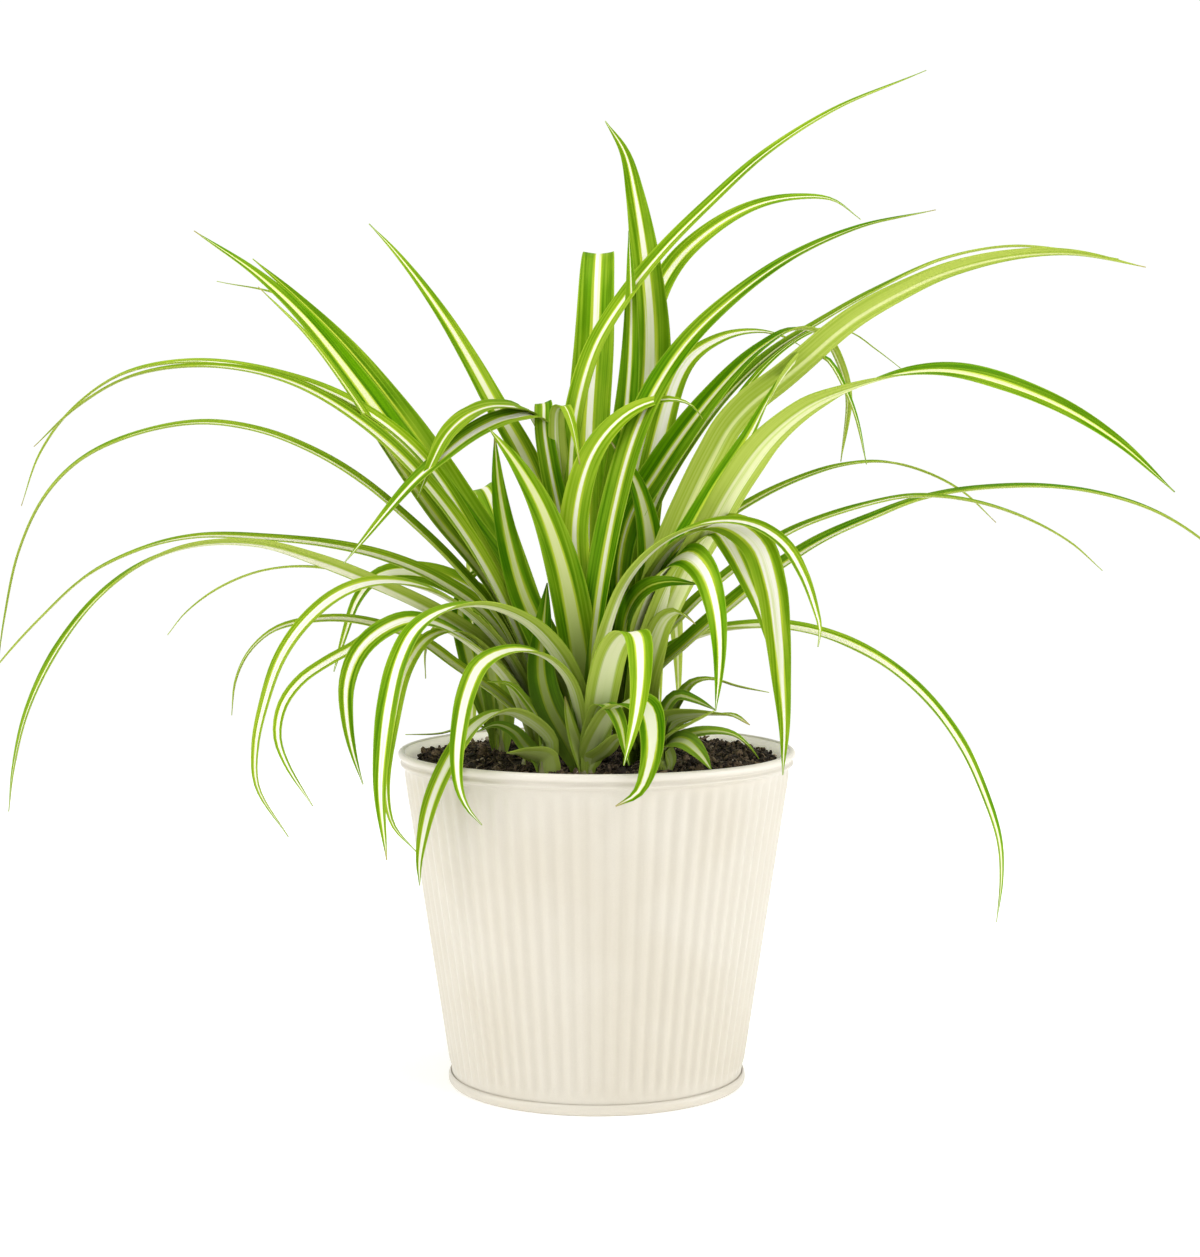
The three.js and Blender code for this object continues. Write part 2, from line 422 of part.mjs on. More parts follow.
// One leaf as a closed V-folded ribbon. Each section has three points on the upper face and the
// same three on the lower, so both faces are split into triangles alike.
function leafSolid(width, turns, course, crown) {
  const points = course.map(place);
  const root = new THREE.Vector3(crown.x, -crown.depth, LEAF_FOOT);
  root.add(points[1].clone().sub(root).setZ(0).clampLength(0, crown.radius * 0.3));
  const course3d = points[0].z > LEAF_FOOT + 2 ? [root, ...points] : [root, ...points.slice(1)];
  const curve = new THREE.CatmullRomCurve3(course3d, false, 'centripetal');
  const length = curve.getLength();
  const wanted = Math.round(length / SECTION_LENGTH);
  const fewest = length < SHORT_LEAF ? SHORT_LEAF_SECTIONS : FEWEST_SECTIONS;
  const sections = Math.min(Math.max(wanted, fewest), MOST_SECTIONS);

  const away = points.map((point) => point.clone().sub(root).setZ(0));
  const heading = away.reduce((far, step) => (step.length() > far.length() ? step : far));
  heading.normalize();
  const across = new THREE.Vector3(0, 0, 1).cross(heading);
  const sign = heading.x > 0 ? 1 : -1;

  const positions = [];
  for (let i = 0; i <= sections; i += 1) {
    const at = i / sections;
    const centre = curve.getPointAt(at);
    const along = curve.getTangentAt(at);
    const side = across.clone().addScaledVector(along, -across.dot(along)).normalize();
    const up = along.clone().cross(side);
    const turn = THREE.MathUtils.degToRad(
      sign * lerpTable(turns.map((value, k) => [k / (turns.length - 1), value]), at),
    );
    side.applyAxisAngle(along, turn);
    up.applyAxisAngle(along, turn);
    const half = leafWidth(width, at) / 2;
    const fold = THREE.MathUtils.degToRad(lerpTable(FOLD, at));
    const sectionPoints = [-1, 0, 1].map((u) => centre.clone()
      .addScaledVector(side, u * half * Math.cos(fold))
      .addScaledVector(up, Math.abs(u) * half * Math.sin(fold)));
    const below = sectionPoints.map((point, k) => point.clone()
      .addScaledVector(up, k === 1 ? -BLADE_THICKNESS : -EDGE_THICKNESS));
    [...sectionPoints, ...below].forEach((point) => positions.push(...point));
  }

  const faces = [];
  const quad = (a, b, c, d) => faces.push(a, c, b, a, d, c);
  for (let i = 0; i < sections; i += 1) {
    const s = 6 * i;
    const n = s + 6;
    for (const k of [0, 1]) {
      quad(s + k, s + k + 1, n + k + 1, n + k);
      faces.push(s + k + 3, s + k + 4, n + k + 4, s + k + 3, n + k + 4, n + k + 3);
    }
    quad(s + 2, s + 5, n + 5, n + 2);
    quad(s + 3, s, n, n + 3);
  }
  for (const k of [0, 1]) {
    quad(k, k + 3, k + 4, k + 1);
    const e = 6 * sections + k;
    quad(e, e + 1, e + 4, e + 3);
  }
  const geometry = new THREE.BufferGeometry();
  geometry.setAttribute('position', new THREE.Float32BufferAttribute(positions, 3));
  geometry.setIndex(faces);
  return toManifold(geometry);
}

// A crown is the short pale stock that the leaves of one plant grow from.
function crownSolid({ x, depth, radius }) {
  const height = CROWN_TOP - CROWN_FOOT;
  const stock = new THREE.CylinderGeometry(radius * 0.8, radius, height, CROWN_SIDES);
  stock.rotateX(Math.PI / 2);
  stock.translate(x, -depth, CROWN_FOOT + height / 2);
  return toManifold(stock);
}

function rosette(crown) {
  const grown = crown.leaves.reduce(
    (body, [width, turns, course]) => body.add(leafSolid(width, turns, course, crown)),
    crownSolid(crown),
  );
  const [plant] = grown.decompose().sort((a, b) => b.volume() - a.volume());
  return toGeometry(plant);
}

// ---------------------------------------------------------------- the plant in its pot
const paint = new THREE.MeshStandardMaterial({ color: 0xece6d4, roughness: 0.45, metalness: 0.1 });
const earth = new THREE.MeshStandardMaterial({ color: 0x2e241b, roughness: 1, metalness: 0 });
const leafGreen = new THREE.MeshStandardMaterial({ color: GREEN, roughness: 0.45, metalness: 0 });

const group = new THREE.Group();
function addPiece(name, geometry, material) {
  const mesh = new THREE.Mesh(geometry, material);
  mesh.name = name;
  group.add(mesh);
}

addPiece('pot_wall', potWall(), paint);
addPiece('pot_base', potBase(), paint);
addPiece('soil', soil(), earth);
ROSETTES.forEach((crown) => addPiece(crown.name, rosette(crown), leafGreen));

export default group;
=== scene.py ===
"""Spider plant with striped arching leaves in a ribbed cream metal pot, on a pale studio floor.

Lengths in the tables are millimetres, as in the part's source. The meshes are made in metres.
"""

import math
import random

import bmesh
import bpy
from mathutils import Matrix, Vector, noise


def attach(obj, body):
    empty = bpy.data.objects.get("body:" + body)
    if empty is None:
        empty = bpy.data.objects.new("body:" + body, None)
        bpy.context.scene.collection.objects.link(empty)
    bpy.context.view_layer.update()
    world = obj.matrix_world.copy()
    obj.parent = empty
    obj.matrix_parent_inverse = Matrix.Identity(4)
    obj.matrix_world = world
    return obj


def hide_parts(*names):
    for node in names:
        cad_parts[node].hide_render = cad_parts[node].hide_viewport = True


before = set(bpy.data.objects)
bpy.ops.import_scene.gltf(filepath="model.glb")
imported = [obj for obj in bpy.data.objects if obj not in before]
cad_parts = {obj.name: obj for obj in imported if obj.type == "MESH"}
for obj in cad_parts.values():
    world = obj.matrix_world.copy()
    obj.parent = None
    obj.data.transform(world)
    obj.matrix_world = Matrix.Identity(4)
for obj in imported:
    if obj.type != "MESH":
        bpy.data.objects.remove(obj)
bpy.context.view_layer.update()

MM = 0.001

# ---------------------------------------------------------------- sizes shared with the part
RIM_RADIUS = 72.5
RIM_BEAD = 1.35                      # radius of the rolled edge
RIM_BEAD_HEIGHT = 121.1              # its middle
SHEET = 0.8
WALL_TOP_RADIUS = 69.7
WALL_FOOT_RADIUS = 53.9
FLUTE_TOP = 113.5
FLUTE_FOOT = 8.5
FLUTES = 72
FLUTE_DEPTH = 0.45
SOIL_TOP_RADIUS = 65.2
SOIL_EDGE = 119.6
SOIL_DISH = 1.6

EYE_SIDE = 1.2
EYE_DISTANCE = 916
EYE_HEIGHT = 237
EYE_TILT = 0.077                     # radians below level
BLADE_THICKNESS = 0.9
EDGE_THICKNESS = 0.65
BASE_SHARE = 0.42
FULL_WIDTH_AT = 0.35
TAPER = 2.8
FOLD = [(0, 50), (0.12, 30), (0.35, 14), (0.6, 9), (1, 12)]
CROWN_FOOT = 104
CROWN_TOP = 129
LEAF_FOOT = 121.5
LEAF_SHEATH = 7                      # how far a leaf starts below its foot
ROOT_SPREAD = 0.3                    # share of the crown's radius by which roots stand apart
ROW_LENGTH = 3.0
ROWS_LEAST = 24
ROWS_MOST = 110
HALF_WIDTH_LEAST = 0.22
CROWD_X = 4                          # middle of the crowded, shaded part of the plant
CROWD_Y = -8
CROWD_REACH = 40

CRUMB_SEED = 41
CRUMB_BATCHES = 100
CRUMBS_IN_BATCH = 40
FIBRES_IN_BATCH = 5

# Each rosette: its crown's place and radius, then its leaves as
# (greatest width, share of it that is the pale stripe, tone from -1 dark to 1 light,
# warmth of the stripe from 0 white to 1 yellow-cream, turns, course).
# The tone is partly the leaf's own green and partly painted shade for leaves that sit in shadow;
# below -1 it adds painted shade as in the crowded middle.
# A course is [sideways, height, depth] as seen from the eye, like in the part's source.
ROSETTES = {
    "rosette_front": dict(x=-4, depth=38, radius=7, leaves=[
        (17, 0.34, -0.1, 0.9, [20, 35, 30], [[-5, 140, 32], [-8, 165, 30], [-13, 190, 27],
         [-20, 210, 24], [-29, 226, 20], [-39, 239, 16]]),
        (13, 0.3, -0.5, 0.8, [40, 60, 60], [[-9, 140, 24], [-18, 160, 20], [-27, 180, 16],
         [-32.5, 200, 13], [-35.5, 218, 11], [-37, 237, 9]]),
        (14, 0.2, 0.4, 0.2, [20, 35, 35], [[-3, 140, 28], [-6, 175, 20], [-8, 205, 14],
         [-2, 229, 10], [8, 242, 8], [18, 248, 7], [28, 249.5, 7], [35, 247, 7], [38.5, 242.5, 7]]),
        (13, 0.15, -0.4, 0.3, [20, 25, 10], [[-2, 130, 34], [-1, 160, 30], [2, 185, 25],
         [7, 212, 17], [14, 237, 9], [23, 256, 3], [34, 271.5, -3], [50, 286.5, -9],
         [70, 300.5, -15], [95, 311.5, -21], [122, 317.5, -26]]),
        (15, 0.4, 0.2, 0, [10, 10, 9, 12, 18], [[0, 130, 36], [4, 162, 42], [12, 184, 48],
         [25, 198, 54], [42, 205, 62], [57, 204, 69], [68, 197, 74], [75, 186, 77],
         [79.5, 174, 79], [81.5, 166, 80], [80.8, 159.5, 80]]),
        (13, 0.36, 0, 0.1, [-20, 0, 10], [[0, 122, 38], [2, 140, 46], [6, 157, 55],
         [11, 164.5, 66], [15, 163, 78], [16, 150, 85], [14.5, 135, 87], [10, 116, 86]]),
        (13, 0.42, -0.3, 0.1, [0, 20, 30], [[0, 118, 38], [3, 130, 46], [8, 138, 54],
         [14, 139.5, 62], [19, 136, 70], [20.5, 126, 76], [19, 115, 78], [15, 106, 79], [7, 101, 78]]),
        (9, 0.35, -0.6, 0.3, [0, 0, 20], [[-2, 118, 36], [-1, 130, 42], [2, 138.5, 49],
         [6, 136.5, 55], [9, 130, 59], [10.5, 122, 61], [12, 116, 62]]),
        (9, 0.2, 0.4, 0.3, [-20, -20, 0], [[0, 116, 36], [3, 121, 42], [8, 126.5, 48], [15, 129, 54]]),
        (12, 0.48, -0.1, 0, [15, 12, 8, 20, 22], [[-7, 130, 36], [-11, 147, 42], [-20, 156.5, 50],
         [-32, 158, 58], [-42, 153, 64], [-47, 143, 68], [-49.8, 130, 70], [-51, 117, 70],
         [-50, 107, 70], [-47, 100, 69], [-42, 94, 68]]),
        (17, 0.42, -0.1, 0, [0, -8, -2, 22, 28], [[-6, 130, 32], [-13, 152, 36], [-26, 168, 42],
         [-42, 174.5, 50], [-56, 172.5, 57], [-66, 165.5, 63], [-72, 154, 67], [-75.5, 140, 69],
         [-78, 122, 69], [-79, 105, 68], [-77, 81, 66]]),
        (13, 0.2, -1.5, 0.7, [60, 60, 60], [[-10, 125, 36], [-17, 138, 33], [-20, 150, 32],
         [-19.5, 166, 30], [-18, 183, 27]]),
        (7, 0.6, 0.6, 0.8, [60, 60, 60], [[-5.4, 113, 39], [-8, 125, 42], [-10.5, 135, 42],
         [-11.5, 141.5, 41]]),
    ]),
    "rosette_small_left": dict(x=-19, depth=42, radius=4.5, leaves=[
        (12, 0.45, 0.1, 0, [-15, -18, 12, 28, 30], [[-15, 116, 37], [-18, 124, 39],
         [-25, 131.5, 42], [-34, 135.5, 46], [-43, 131.5, 51], [-50, 123.5, 54], [-56, 113, 57],
         [-60.5, 102, 58], [-63.5, 90, 59], [-65, 80, 59], [-65, 71.5, 58]]),
        (12, 0.6, 0.6, 0.6, [-30, -40, -20], [[-15, 115, 40], [-19, 118, 43], [-26, 120.5, 46],
         [-33, 120.8, 49]]),
        (7, 0.2, 0.2, 0.3, [20, 20, 10], [[-16, 118, 36], [-20, 130, 35], [-26, 140, 34],
         [-32, 146, 34], [-40, 147, 34]]),
        (8, 0.3, -1.4, 0.3, [30, 30, 30], [[-21, 118, 40], [-26.5, 124, 36], [-30.4, 128.5, 34],
         [-36.5, 131, 33], [-43.8, 128.5, 33]]),
    ]),
    "rosette_left": dict(x=-24, depth=8, radius=7.5, leaves=[
        (15, 0.06, -0.1, 1, [20, 35, 20], [[-24, 150, 2], [-33, 184, -4], [-52, 216, -14],
         [-70, 243, -22], [-90, 268, -30], [-108, 286, -36], [-124, 300, -40]]),
        (18, 0.26, -0.6, 0.8, [30, 40, 20], [[-23, 148, 6], [-33, 180, 4], [-51, 206, 2],
         [-68, 229, 0], [-85, 253, -3], [-105, 278, -6], [-122, 294, -8], [-145, 310, -10]]),
        (11, 0.3, 0.3, 1, [20, 30, 10], [[-24, 145, 10], [-38, 180, 14], [-58, 206, 16],
         [-75, 230, 17], [-90, 253, 17], [-105, 273, 16], [-122, 290, 14]]),
        (8, 0.1, 0, 0.3, [0, 10, 0], [[-24, 150, -2], [-40, 200, -14], [-62, 236, -26],
         [-88, 264, -36], [-112, 286, -42], [-137, 292, -46]]),
        (11, 0.25, 0.3, 0.3, [17, 20, 16, 10, 10], [[-24, 150, 6], [-45, 200, 10], [-66, 231, 12],
         [-92, 250, 12], [-125, 261, 9], [-150, 263, 6], [-172, 258.5, 3], [-190, 246, 0],
         [-202, 230, -2], [-209, 211, -4]]),
        (13, 0.3, 0.3, 0.3, [20, 20, 0], [[-24, 146, 12], [-42, 190, 20], [-63, 220, 24],
         [-85, 241, 24], [-110, 255.5, 21], [-140, 261.5, 17], [-168, 258, 13], [-188, 247, 10],
         [-204, 232.5, 8]]),
        (11, 0.2, 0.2, 0.3, [10, 10, 10], [[-24, 140, 8], [-33, 165, 14], [-51, 188, 20],
         [-68, 205, 24], [-85, 219.5, 26], [-103, 230.5, 27], [-122, 238, 27], [-143, 241, 26],
         [-165, 237.5, 24], [-186, 228.5, 22], [-200, 215, 20], [-210, 195, 18], [-216, 170, 16],
         [-219, 150, 15]]),
        (11, 0.3, 0.3, 0.3, [14, 20, 12, 10, 12], [[-24, 140, 4], [-38, 168, 2], [-57, 183, -2],
         [-76, 191.5, -6], [-97, 196.5, -10], [-120, 199, -14], [-145, 199.8, -17],
         [-165, 195.5, -20], [-185, 186, -22], [-203, 170, -24], [-217, 155, -25], [-226, 143, -26]]),
        (14, 0.3, 0.1, 0.1, [-24, -25, -22, -5, 18, 20], [[-24, 135, 8], [-38, 156, 14],
         [-60, 171.5, 22], [-80, 181.5, 28], [-101, 190, 33], [-123, 196.5, 37], [-146, 196.5, 40],
         [-165, 190, 42], [-182, 177, 43], [-197, 158, 44], [-208, 136, 45], [-213.5, 115, 45],
         [-215.5, 99, 45]]),
        (6, 0.3, 0.6, 0.3, [0, 0, 0], [[-24, 135, 2], [-40, 160, -2], [-62, 176, -8],
         [-85, 185.5, -14], [-105, 189, -18], [-122, 187.5, -22], [-138, 181, -25],
         [-150, 172, -27], [-156.5, 164, -28]]),
        (13, 0.5, 0.4, 0, [10, 10, 12, 4, 2], [[-24, 135, 12], [-34, 157, 22], [-50, 174, 32],
         [-65, 181.5, 40], [-80, 183, 47], [-93, 179, 53], [-105, 169.5, 58], [-115, 155.5, 62],
         [-121, 139, 64], [-124.5, 123, 65], [-124, 108, 65], [-113, 89.5, 64]]),
        (11, 0.45, 0.6, 0.3, [0, 10, 30], [[-24, 128, 2], [-36, 141, 0], [-50, 151, -4],
         [-65, 162, -8], [-80, 167.5, -12], [-93, 169.8, -15], [-106, 169, -18],
         [-118, 165.5, -20], [-127, 157.5, -21], [-132, 147, -22], [-133.5, 134.5, -22]]),
        (11, 0.5, 0.4, 0, [0, 10, 30], [[-24, 130, 10], [-36, 150, 16], [-52, 164, 22],
         [-66, 169, 27], [-78, 166, 31], [-88, 159.5, 34], [-98, 154, 37], [-108, 147, 40],
         [-114.5, 138, 42], [-116.5, 127, 43], [-113.5, 117, 43], [-104, 101, 42]]),
        (11, 0.38, -0.2, 0, [10, 30, 40], [[-24, 130, 16], [-36, 152, 28], [-52, 165, 40],
         [-67, 169.5, 50], [-79, 165, 57], [-87, 157, 61], [-91, 146, 63], [-91, 133, 64],
         [-89, 121, 64], [-85.5, 109, 63]]),
        (13, 0.4, 0, 0.1, [0, 40, 75], [[-24, 140, 0], [-38, 172, -6], [-55, 184, -12],
         [-69, 187, -18], [-80, 185, -22], [-87, 177, -25], [-91.5, 165, -27], [-96, 150.5, -28]]),
        (4, 0.4, 0.2, 0.1, [0, 0, 0], [[-24, 132, -6], [-38, 158, -14], [-52, 170, -22],
         [-59, 167, -28], [-62.5, 158, -32], [-62.5, 148, -33]]),
        (8, 0.3, 0, 0.3, [0, 10, 20], [[-25, 126, 14], [-36, 152, 24], [-50, 165, 34],
         [-61, 163, 42], [-69, 152, 48], [-74, 132, 51], [-77, 108, 52], [-74.5, 94, 52],
         [-66, 84, 51]]),
    ]),
    "rosette_right": dict(x=15, depth=8, radius=7.5, leaves=[
        (15, 0.36, -1, 0.7, [50, 60, 60], [[14, 145, 6], [18, 170, 8], [19.5, 190, 9],
         [18, 206, 9], [13.5, 221, 8], [5, 234.5, 6]]),
        (14, 0.5, 0.2, 0, [10, 30, 20], [[14, 150, -2], [17, 195, -8], [22, 232, -14],
         [32, 262, -20], [45, 271.5, -25], [58, 274, -30], [68, 272, -34], [75, 268, -37]]),
        (15, 0.12, -0.8, 0.5, [20, 28, 30, 0, -10], [[12, 145, 4], [8, 185, 6], [12, 206, 4],
         [22, 223, 0], [36, 243, -5], [49, 258.5, -10], [60, 268.5, -14], [72, 275, -18],
         [82, 272, -22], [88, 262, -25], [91, 250, -27], [88.5, 227, -29]]),
        (12, 0.15, 0.1, 0.3, [10, 16, 8, -2, 4], [[15, 145, 0], [15, 180, -2], [21, 210, -6],
         [35, 235, -11], [50, 254, -16], [65, 267.5, -21], [80, 277, -26], [100, 288.5, -31],
         [125, 300, -37], [148, 304.5, -42], [170, 303, -46], [188, 300, -49]]),
        (15, 0.1, 0.7, 1, [-42, -44, -46, -40, -35, -20], [[17, 145, 4], [22, 180, 12],
         [29, 200, 18], [36, 216, 22], [43, 230, 26], [48, 239, 29], [55.5, 247.5, 32],
         [67, 256.5, 36], [76.5, 264.5, 40], [85, 272, 42], [95, 279.5, 42], [110, 288, 41],
         [127, 295.5, 41], [150, 301, 41], [172, 302, 40], [198, 297, 40]]),
        (15, 0.25, -0.6, 0.3, [60, 60, 52, 40, 0, 0], [[16, 140, 12], [25, 183, 28], [37, 206, 38],
         [45, 220, 43], [54.5, 234.5, 46], [62, 249, 46], [68, 259, 43], [76, 266, 36],
         [83, 264, 34], [89, 255, 36], [94, 243, 38], [98, 226, 40]]),
        (18, 0.3, -0.4, 0.6, [-6, -8, -12, -16, -18, -10, 16, 30, 30, 30], [[17, 140, 14],
         [29, 175, 32], [44.5, 206, 48], [52.5, 220, 56], [63, 234.5, 64], [77.5, 246.5, 73],
         [92, 253.3, 81], [110, 258.5, 88], [128, 259.5, 95], [148, 255, 101], [170, 246, 107],
         [190, 233.5, 112], [210, 216, 116]]),
        (8, 0.2, -0.05, 0.3, [0, 10, 0], [[15, 140, -6], [22, 180, -14], [40, 201, -22],
         [58, 213.5, -29], [75, 221.5, -35], [90, 226, -40], [105, 227, -45], [120, 223, -49],
         [133, 216, -52], [145, 205, -54]]),
        (14, 0.2, -0.45, 0.3, [5, 10, 0, 8, 16], [[16, 128, 2], [20, 147, -1], [33, 160, -6],
         [48, 173, -11], [63, 185.5, -16], [80, 197, -21], [100, 206.5, -27], [120, 214, -32],
         [150, 218, -38], [180, 216, -43], [205, 208, -46], [226, 194, -48], [243, 177, -49]]),
        (12, 0.25, -0.25, 0.3, [5, 8, 2, 6, 10], [[16, 130, 6], [22, 158, 6], [33, 172, 4],
         [47, 185, 1], [60, 195, -2], [75, 203.5, -6], [95, 210.5, -10], [115, 214.5, -14],
         [135, 213, -18], [155, 207, -21], [172, 198, -23], [184, 187.5, -24]]),
        (14, 0.45, -0.25, 0.3, [5, -6, 26, 48, 60], [[15, 126, -8], [18, 144, -14], [26, 157, -20],
         [38, 163.5, -26], [52, 166.5, -31], [70, 166.5, -36], [88, 162, -40], [105, 153.5, -43],
         [120, 141, -45], [133, 124, -47], [142, 105, -48], [147.5, 88, -49], [148.5, 74, -49],
         [147, 58, -49]]),
        (5, 0.2, -0.15, 0.3, [0, 10, 20], [[16, 140, -14], [30, 205, -30], [55, 255, -44],
         [78, 274, -54], [91, 274, -60], [101, 267.5, -64], [111.5, 259.5, -68]]),
        (16, 0.42, 0, 0, [32, 30, 22, 45, 50], [[14, 135, 14], [15, 165, 24], [22, 187, 34],
         [33, 200, 44], [47, 204, 53], [58, 197, 60], [63.5, 182, 64], [66, 165, 66],
         [67.5, 148, 67], [68.7, 130, 67], [68.2, 112.5, 66]]),
        (14, 0.42, 0.1, 0.1, [-8, -8, 0, 40, 50], [[15, 130, 20], [20, 160, 30], [28, 183, 37],
         [37, 197, 43], [44, 202, 47], [49, 196, 50], [55, 184, 52], [60, 172, 53], [64, 156, 54]]),
        (15, 0.38, -0.4, 0, [-10, 40, 60], [[12, 125, 18], [13, 150, 26], [18, 174, 34],
         [25, 188, 42], [33, 192.7, 52], [39.5, 187, 62], [43.5, 175, 68], [45, 161, 70],
         [44.7, 148, 71], [43.5, 136, 71]]),
        (13, 0.16, -1.6, 0.3, [60, 70, 100, 95, 60], [[11, 128, 18], [10, 155, 28], [11, 171, 36],
         [17, 180.5, 47], [26, 183.5, 56], [37, 182.5, 59]]),
        (14, 0.5, 0.3, 0.3, [-40, -50, -20], [[16, 130, 18], [16.5, 145, 26], [20.5, 160, 33],
         [25, 170, 38], [30, 172.5, 42], [36, 168, 46]]),
        (11, 0.3, 0, 0.3, [0, 0, 0], [[15, 140, -4], [18, 172, -20], [22, 188, -46],
         [26, 184, -80], [29, 164, -106], [30, 134, -116]]),
    ]),
    "rosette_back": dict(x=-3, depth=-20, radius=7.5, leaves=[
        (13, 0.33, 0, 0.5, [20, 45, 30], [[-6, 150, -22], [-14, 195, -24], [-26, 228, -27],
         [-37, 247.5, -30], [-45, 262, -32], [-54, 277, -34], [-64, 291.5, -36], [-74, 304, -38],
         [-82, 312.5, -40]]),
        (18, 0.2, 0.4, 0, [0, 20, 30, 8, 40], [[-6, 145, -22], [-11, 190, -26], [-16, 225, -28],
         [-24, 244, -24], [-34, 247, -12], [-45, 244.5, 8], [-54, 237, 24], [-60, 226, 36],
         [-65, 214, 43]]),
        (16, 0.32, 0, 0, [20, 25, 20, 15, 8], [[-6, 140, -22], [-10, 190, -24], [-14, 225, -26],
         [-22, 243, -20], [-31, 243, -8], [-39.5, 240, 6], [-48, 235, 20], [-56, 228.6, 32],
         [-67.4, 218.5, 42], [-92, 190, 52]]),
        (9, 0.2, -0.4, 0.3, [0, 0, 15, 20], [[-5, 150, -18], [-12, 200, -14], [-17, 225, -12],
         [-19, 238, -14], [-19.2, 247.5, -22], [-20, 246, -36], [-20, 232, -56], [-19, 205, -76]]),
        (11, 0.2, 0.5, 0, [0, 0, 0], [[-9, 150, -20], [-11, 190, -18], [-13, 220, -16],
         [-14.5, 238, -12], [-14, 246, -6], [-11.5, 247, 0], [-9, 241, 5], [-7.5, 234, 8],
         [-6.1, 226, 10]]),
        (13, 0.15, 0.2, 0.3, [30, 20, 10], [[-4, 150, -18], [-9, 200, -14], [-8, 240, -14],
         [-1, 267, -18], [11, 287, -23], [24, 303, -28], [41, 320, -34], [60, 337, -40],
         [85, 353, -47], [118, 367, -55]]),
        (21, 0.28, -0.3, 0.2, [40, 55, 45], [[1, 145, -24], [7, 190, -28], [14, 225, -30],
         [18.5, 250, -32], [19.5, 275, -34], [17.5, 300, -36], [14, 322, -38], [10, 338, -40],
         [3, 349, -42]]),
        (13, 0.2, -0.6, 0.3, [50, 65, 60], [[-1, 150, -14], [4, 195, -15], [9.5, 235, -17],
         [12, 262, -19], [12.5, 285, -21], [11.5, 310, -23]]),
        (18, 0.2, -0.1, 0, [0, 0, 0], [[-3, 150, -34], [-4, 200, -46], [-3, 240, -56],
         [-1, 270, -64], [0, 293, -74], [0.5, 301.5, -90], [0.5, 296, -116], [0, 275, -142],
         [0, 245, -160]]),
        (13, 0.3, 0, 0.3, [10, 40, 40], [[1, 150, -30], [8, 200, -40], [14, 248, -50],
         [20, 282, -56], [28, 298, -60], [42, 311, -64], [57, 319, -68], [72, 322, -72],
         [85, 321, -75], [95, 314, -77]]),
        (12, 0.3, 0, 0.3, [0, 0, 25, 35], [[-14, 150, -34], [-24, 172, -48], [-31, 192, -66],
         [-37, 210, -86], [-41, 217.5, -104], [-44, 212, -126], [-46, 192, -144], [-46, 165, -152]]),
        (12, 0.2, -0.8, 0.3, [0, 0, 0], [[-1, 150, -30], [3, 190, -50], [6, 206, -82],
         [8, 200, -118], [9, 178, -145], [9, 150, -156]]),
        (11, 0.3, 0, 0.3, [0, 0, 0], [[2, 145, -26], [8, 178, -44], [14, 190, -74],
         [19, 184, -108], [22, 162, -134], [23, 132, -142]]),
        (10, 0.3, 0, 0.3, [0, 0, 0], [[-4, 140, -34], [-8, 160, -54], [-11, 166, -82],
         [-13, 152, -106], [-14, 126, -116], [-14, 100, -118]]),
    ]),
    "rosette_low_right": dict(x=24, depth=33, radius=4.5, leaves=[
        (11, 0.3, -1.4, 0.3, [10, 30, 20], [[24, 128, 31], [25.5, 137, 28], [29.5, 141.5, 28],
         [36, 140, 30], [43.5, 136.5, 33]]),
        (7, 0.3, 0.4, 0.3, [0, 10, 0], [[25, 128, 31], [29.5, 139, 24], [35, 146.5, 19],
         [42, 148, 16], [51, 145.5, 14], [63, 143, 12]]),
        (14, 0.5, 0.6, 0.1, [-40, -30, 10], [[23, 125, 28], [27, 132, 31], [35, 134.5, 35],
         [44, 135, 39], [50, 134.5, 42], [56, 131, 45]]),
        (9, 0.35, -0.3, 0.3, [20, 20, 0], [[22, 120, 30], [26, 127, 36], [34, 131.5, 42],
         [43.5, 136.5, 48]]),
        (12, 0.35, -0.7, 0.1, [10, 30, 20], [[24, 120, 34], [27, 124.5, 36], [32, 125, 40],
         [38, 120, 45], [42, 114.5, 48]]),
        (9, 0.3, -0.4, 0.3, [10, 20, 10], [[25, 121, 32], [30, 125.5, 30], [40, 128.5, 28],
         [50, 127.5, 28], [56, 123, 28], [59.5, 118.5, 28]]),
    ]),
    "rosette_far_left": dict(x=-36, depth=-22, radius=4.5, leaves=[
        (13, 0.3, 0, 0.8, [40, 40, 30], [[-35, 124, -22], [-36, 138, -22], [-39, 152, -24],
         [-42, 168, -26], [-45, 182, -28]]),
        (11, 0.3, -0.2, 0.7, [30, 40, 30], [[-37, 124, -22], [-42, 142, -24], [-47, 158, -27],
         [-50, 173, -30], [-47, 184, -32], [-38.5, 191, -33]]),
        (3, 0.3, 0.5, 0.3, [0, 0, 0], [[-37, 128, -22], [-46, 131, -18], [-57, 128, -14],
         [-70, 127.5, -12]]),
        (11, 0.3, 0, 0.3, [0, 0, 0], [[-34, 140, -24], [-38, 165, -40], [-42, 174, -66],
         [-45, 165, -92], [-46, 140, -108], [-46, 112, -112]]),
    ]),
}


# ---------------------------------------------------------------- helpers
def lerp_table(table, at):
    """Value at a place in a table of (place, value) rows, straight between the rows."""
    i = 1
    while i < len(table) - 1 and at > table[i][0]:
        i += 1
    (x0, y0), (x1, y1) = table[i - 1], table[i]
    return y0 + (y1 - y0) * (at - x0) / (x1 - x0)


def smoothstep(low, high, value):
    """0 up to low, 1 from high on, and a soft rise between."""
    x = min(max((value - low) / (high - low), 0.0), 1.0)
    return x * x * (3 - 2 * x)


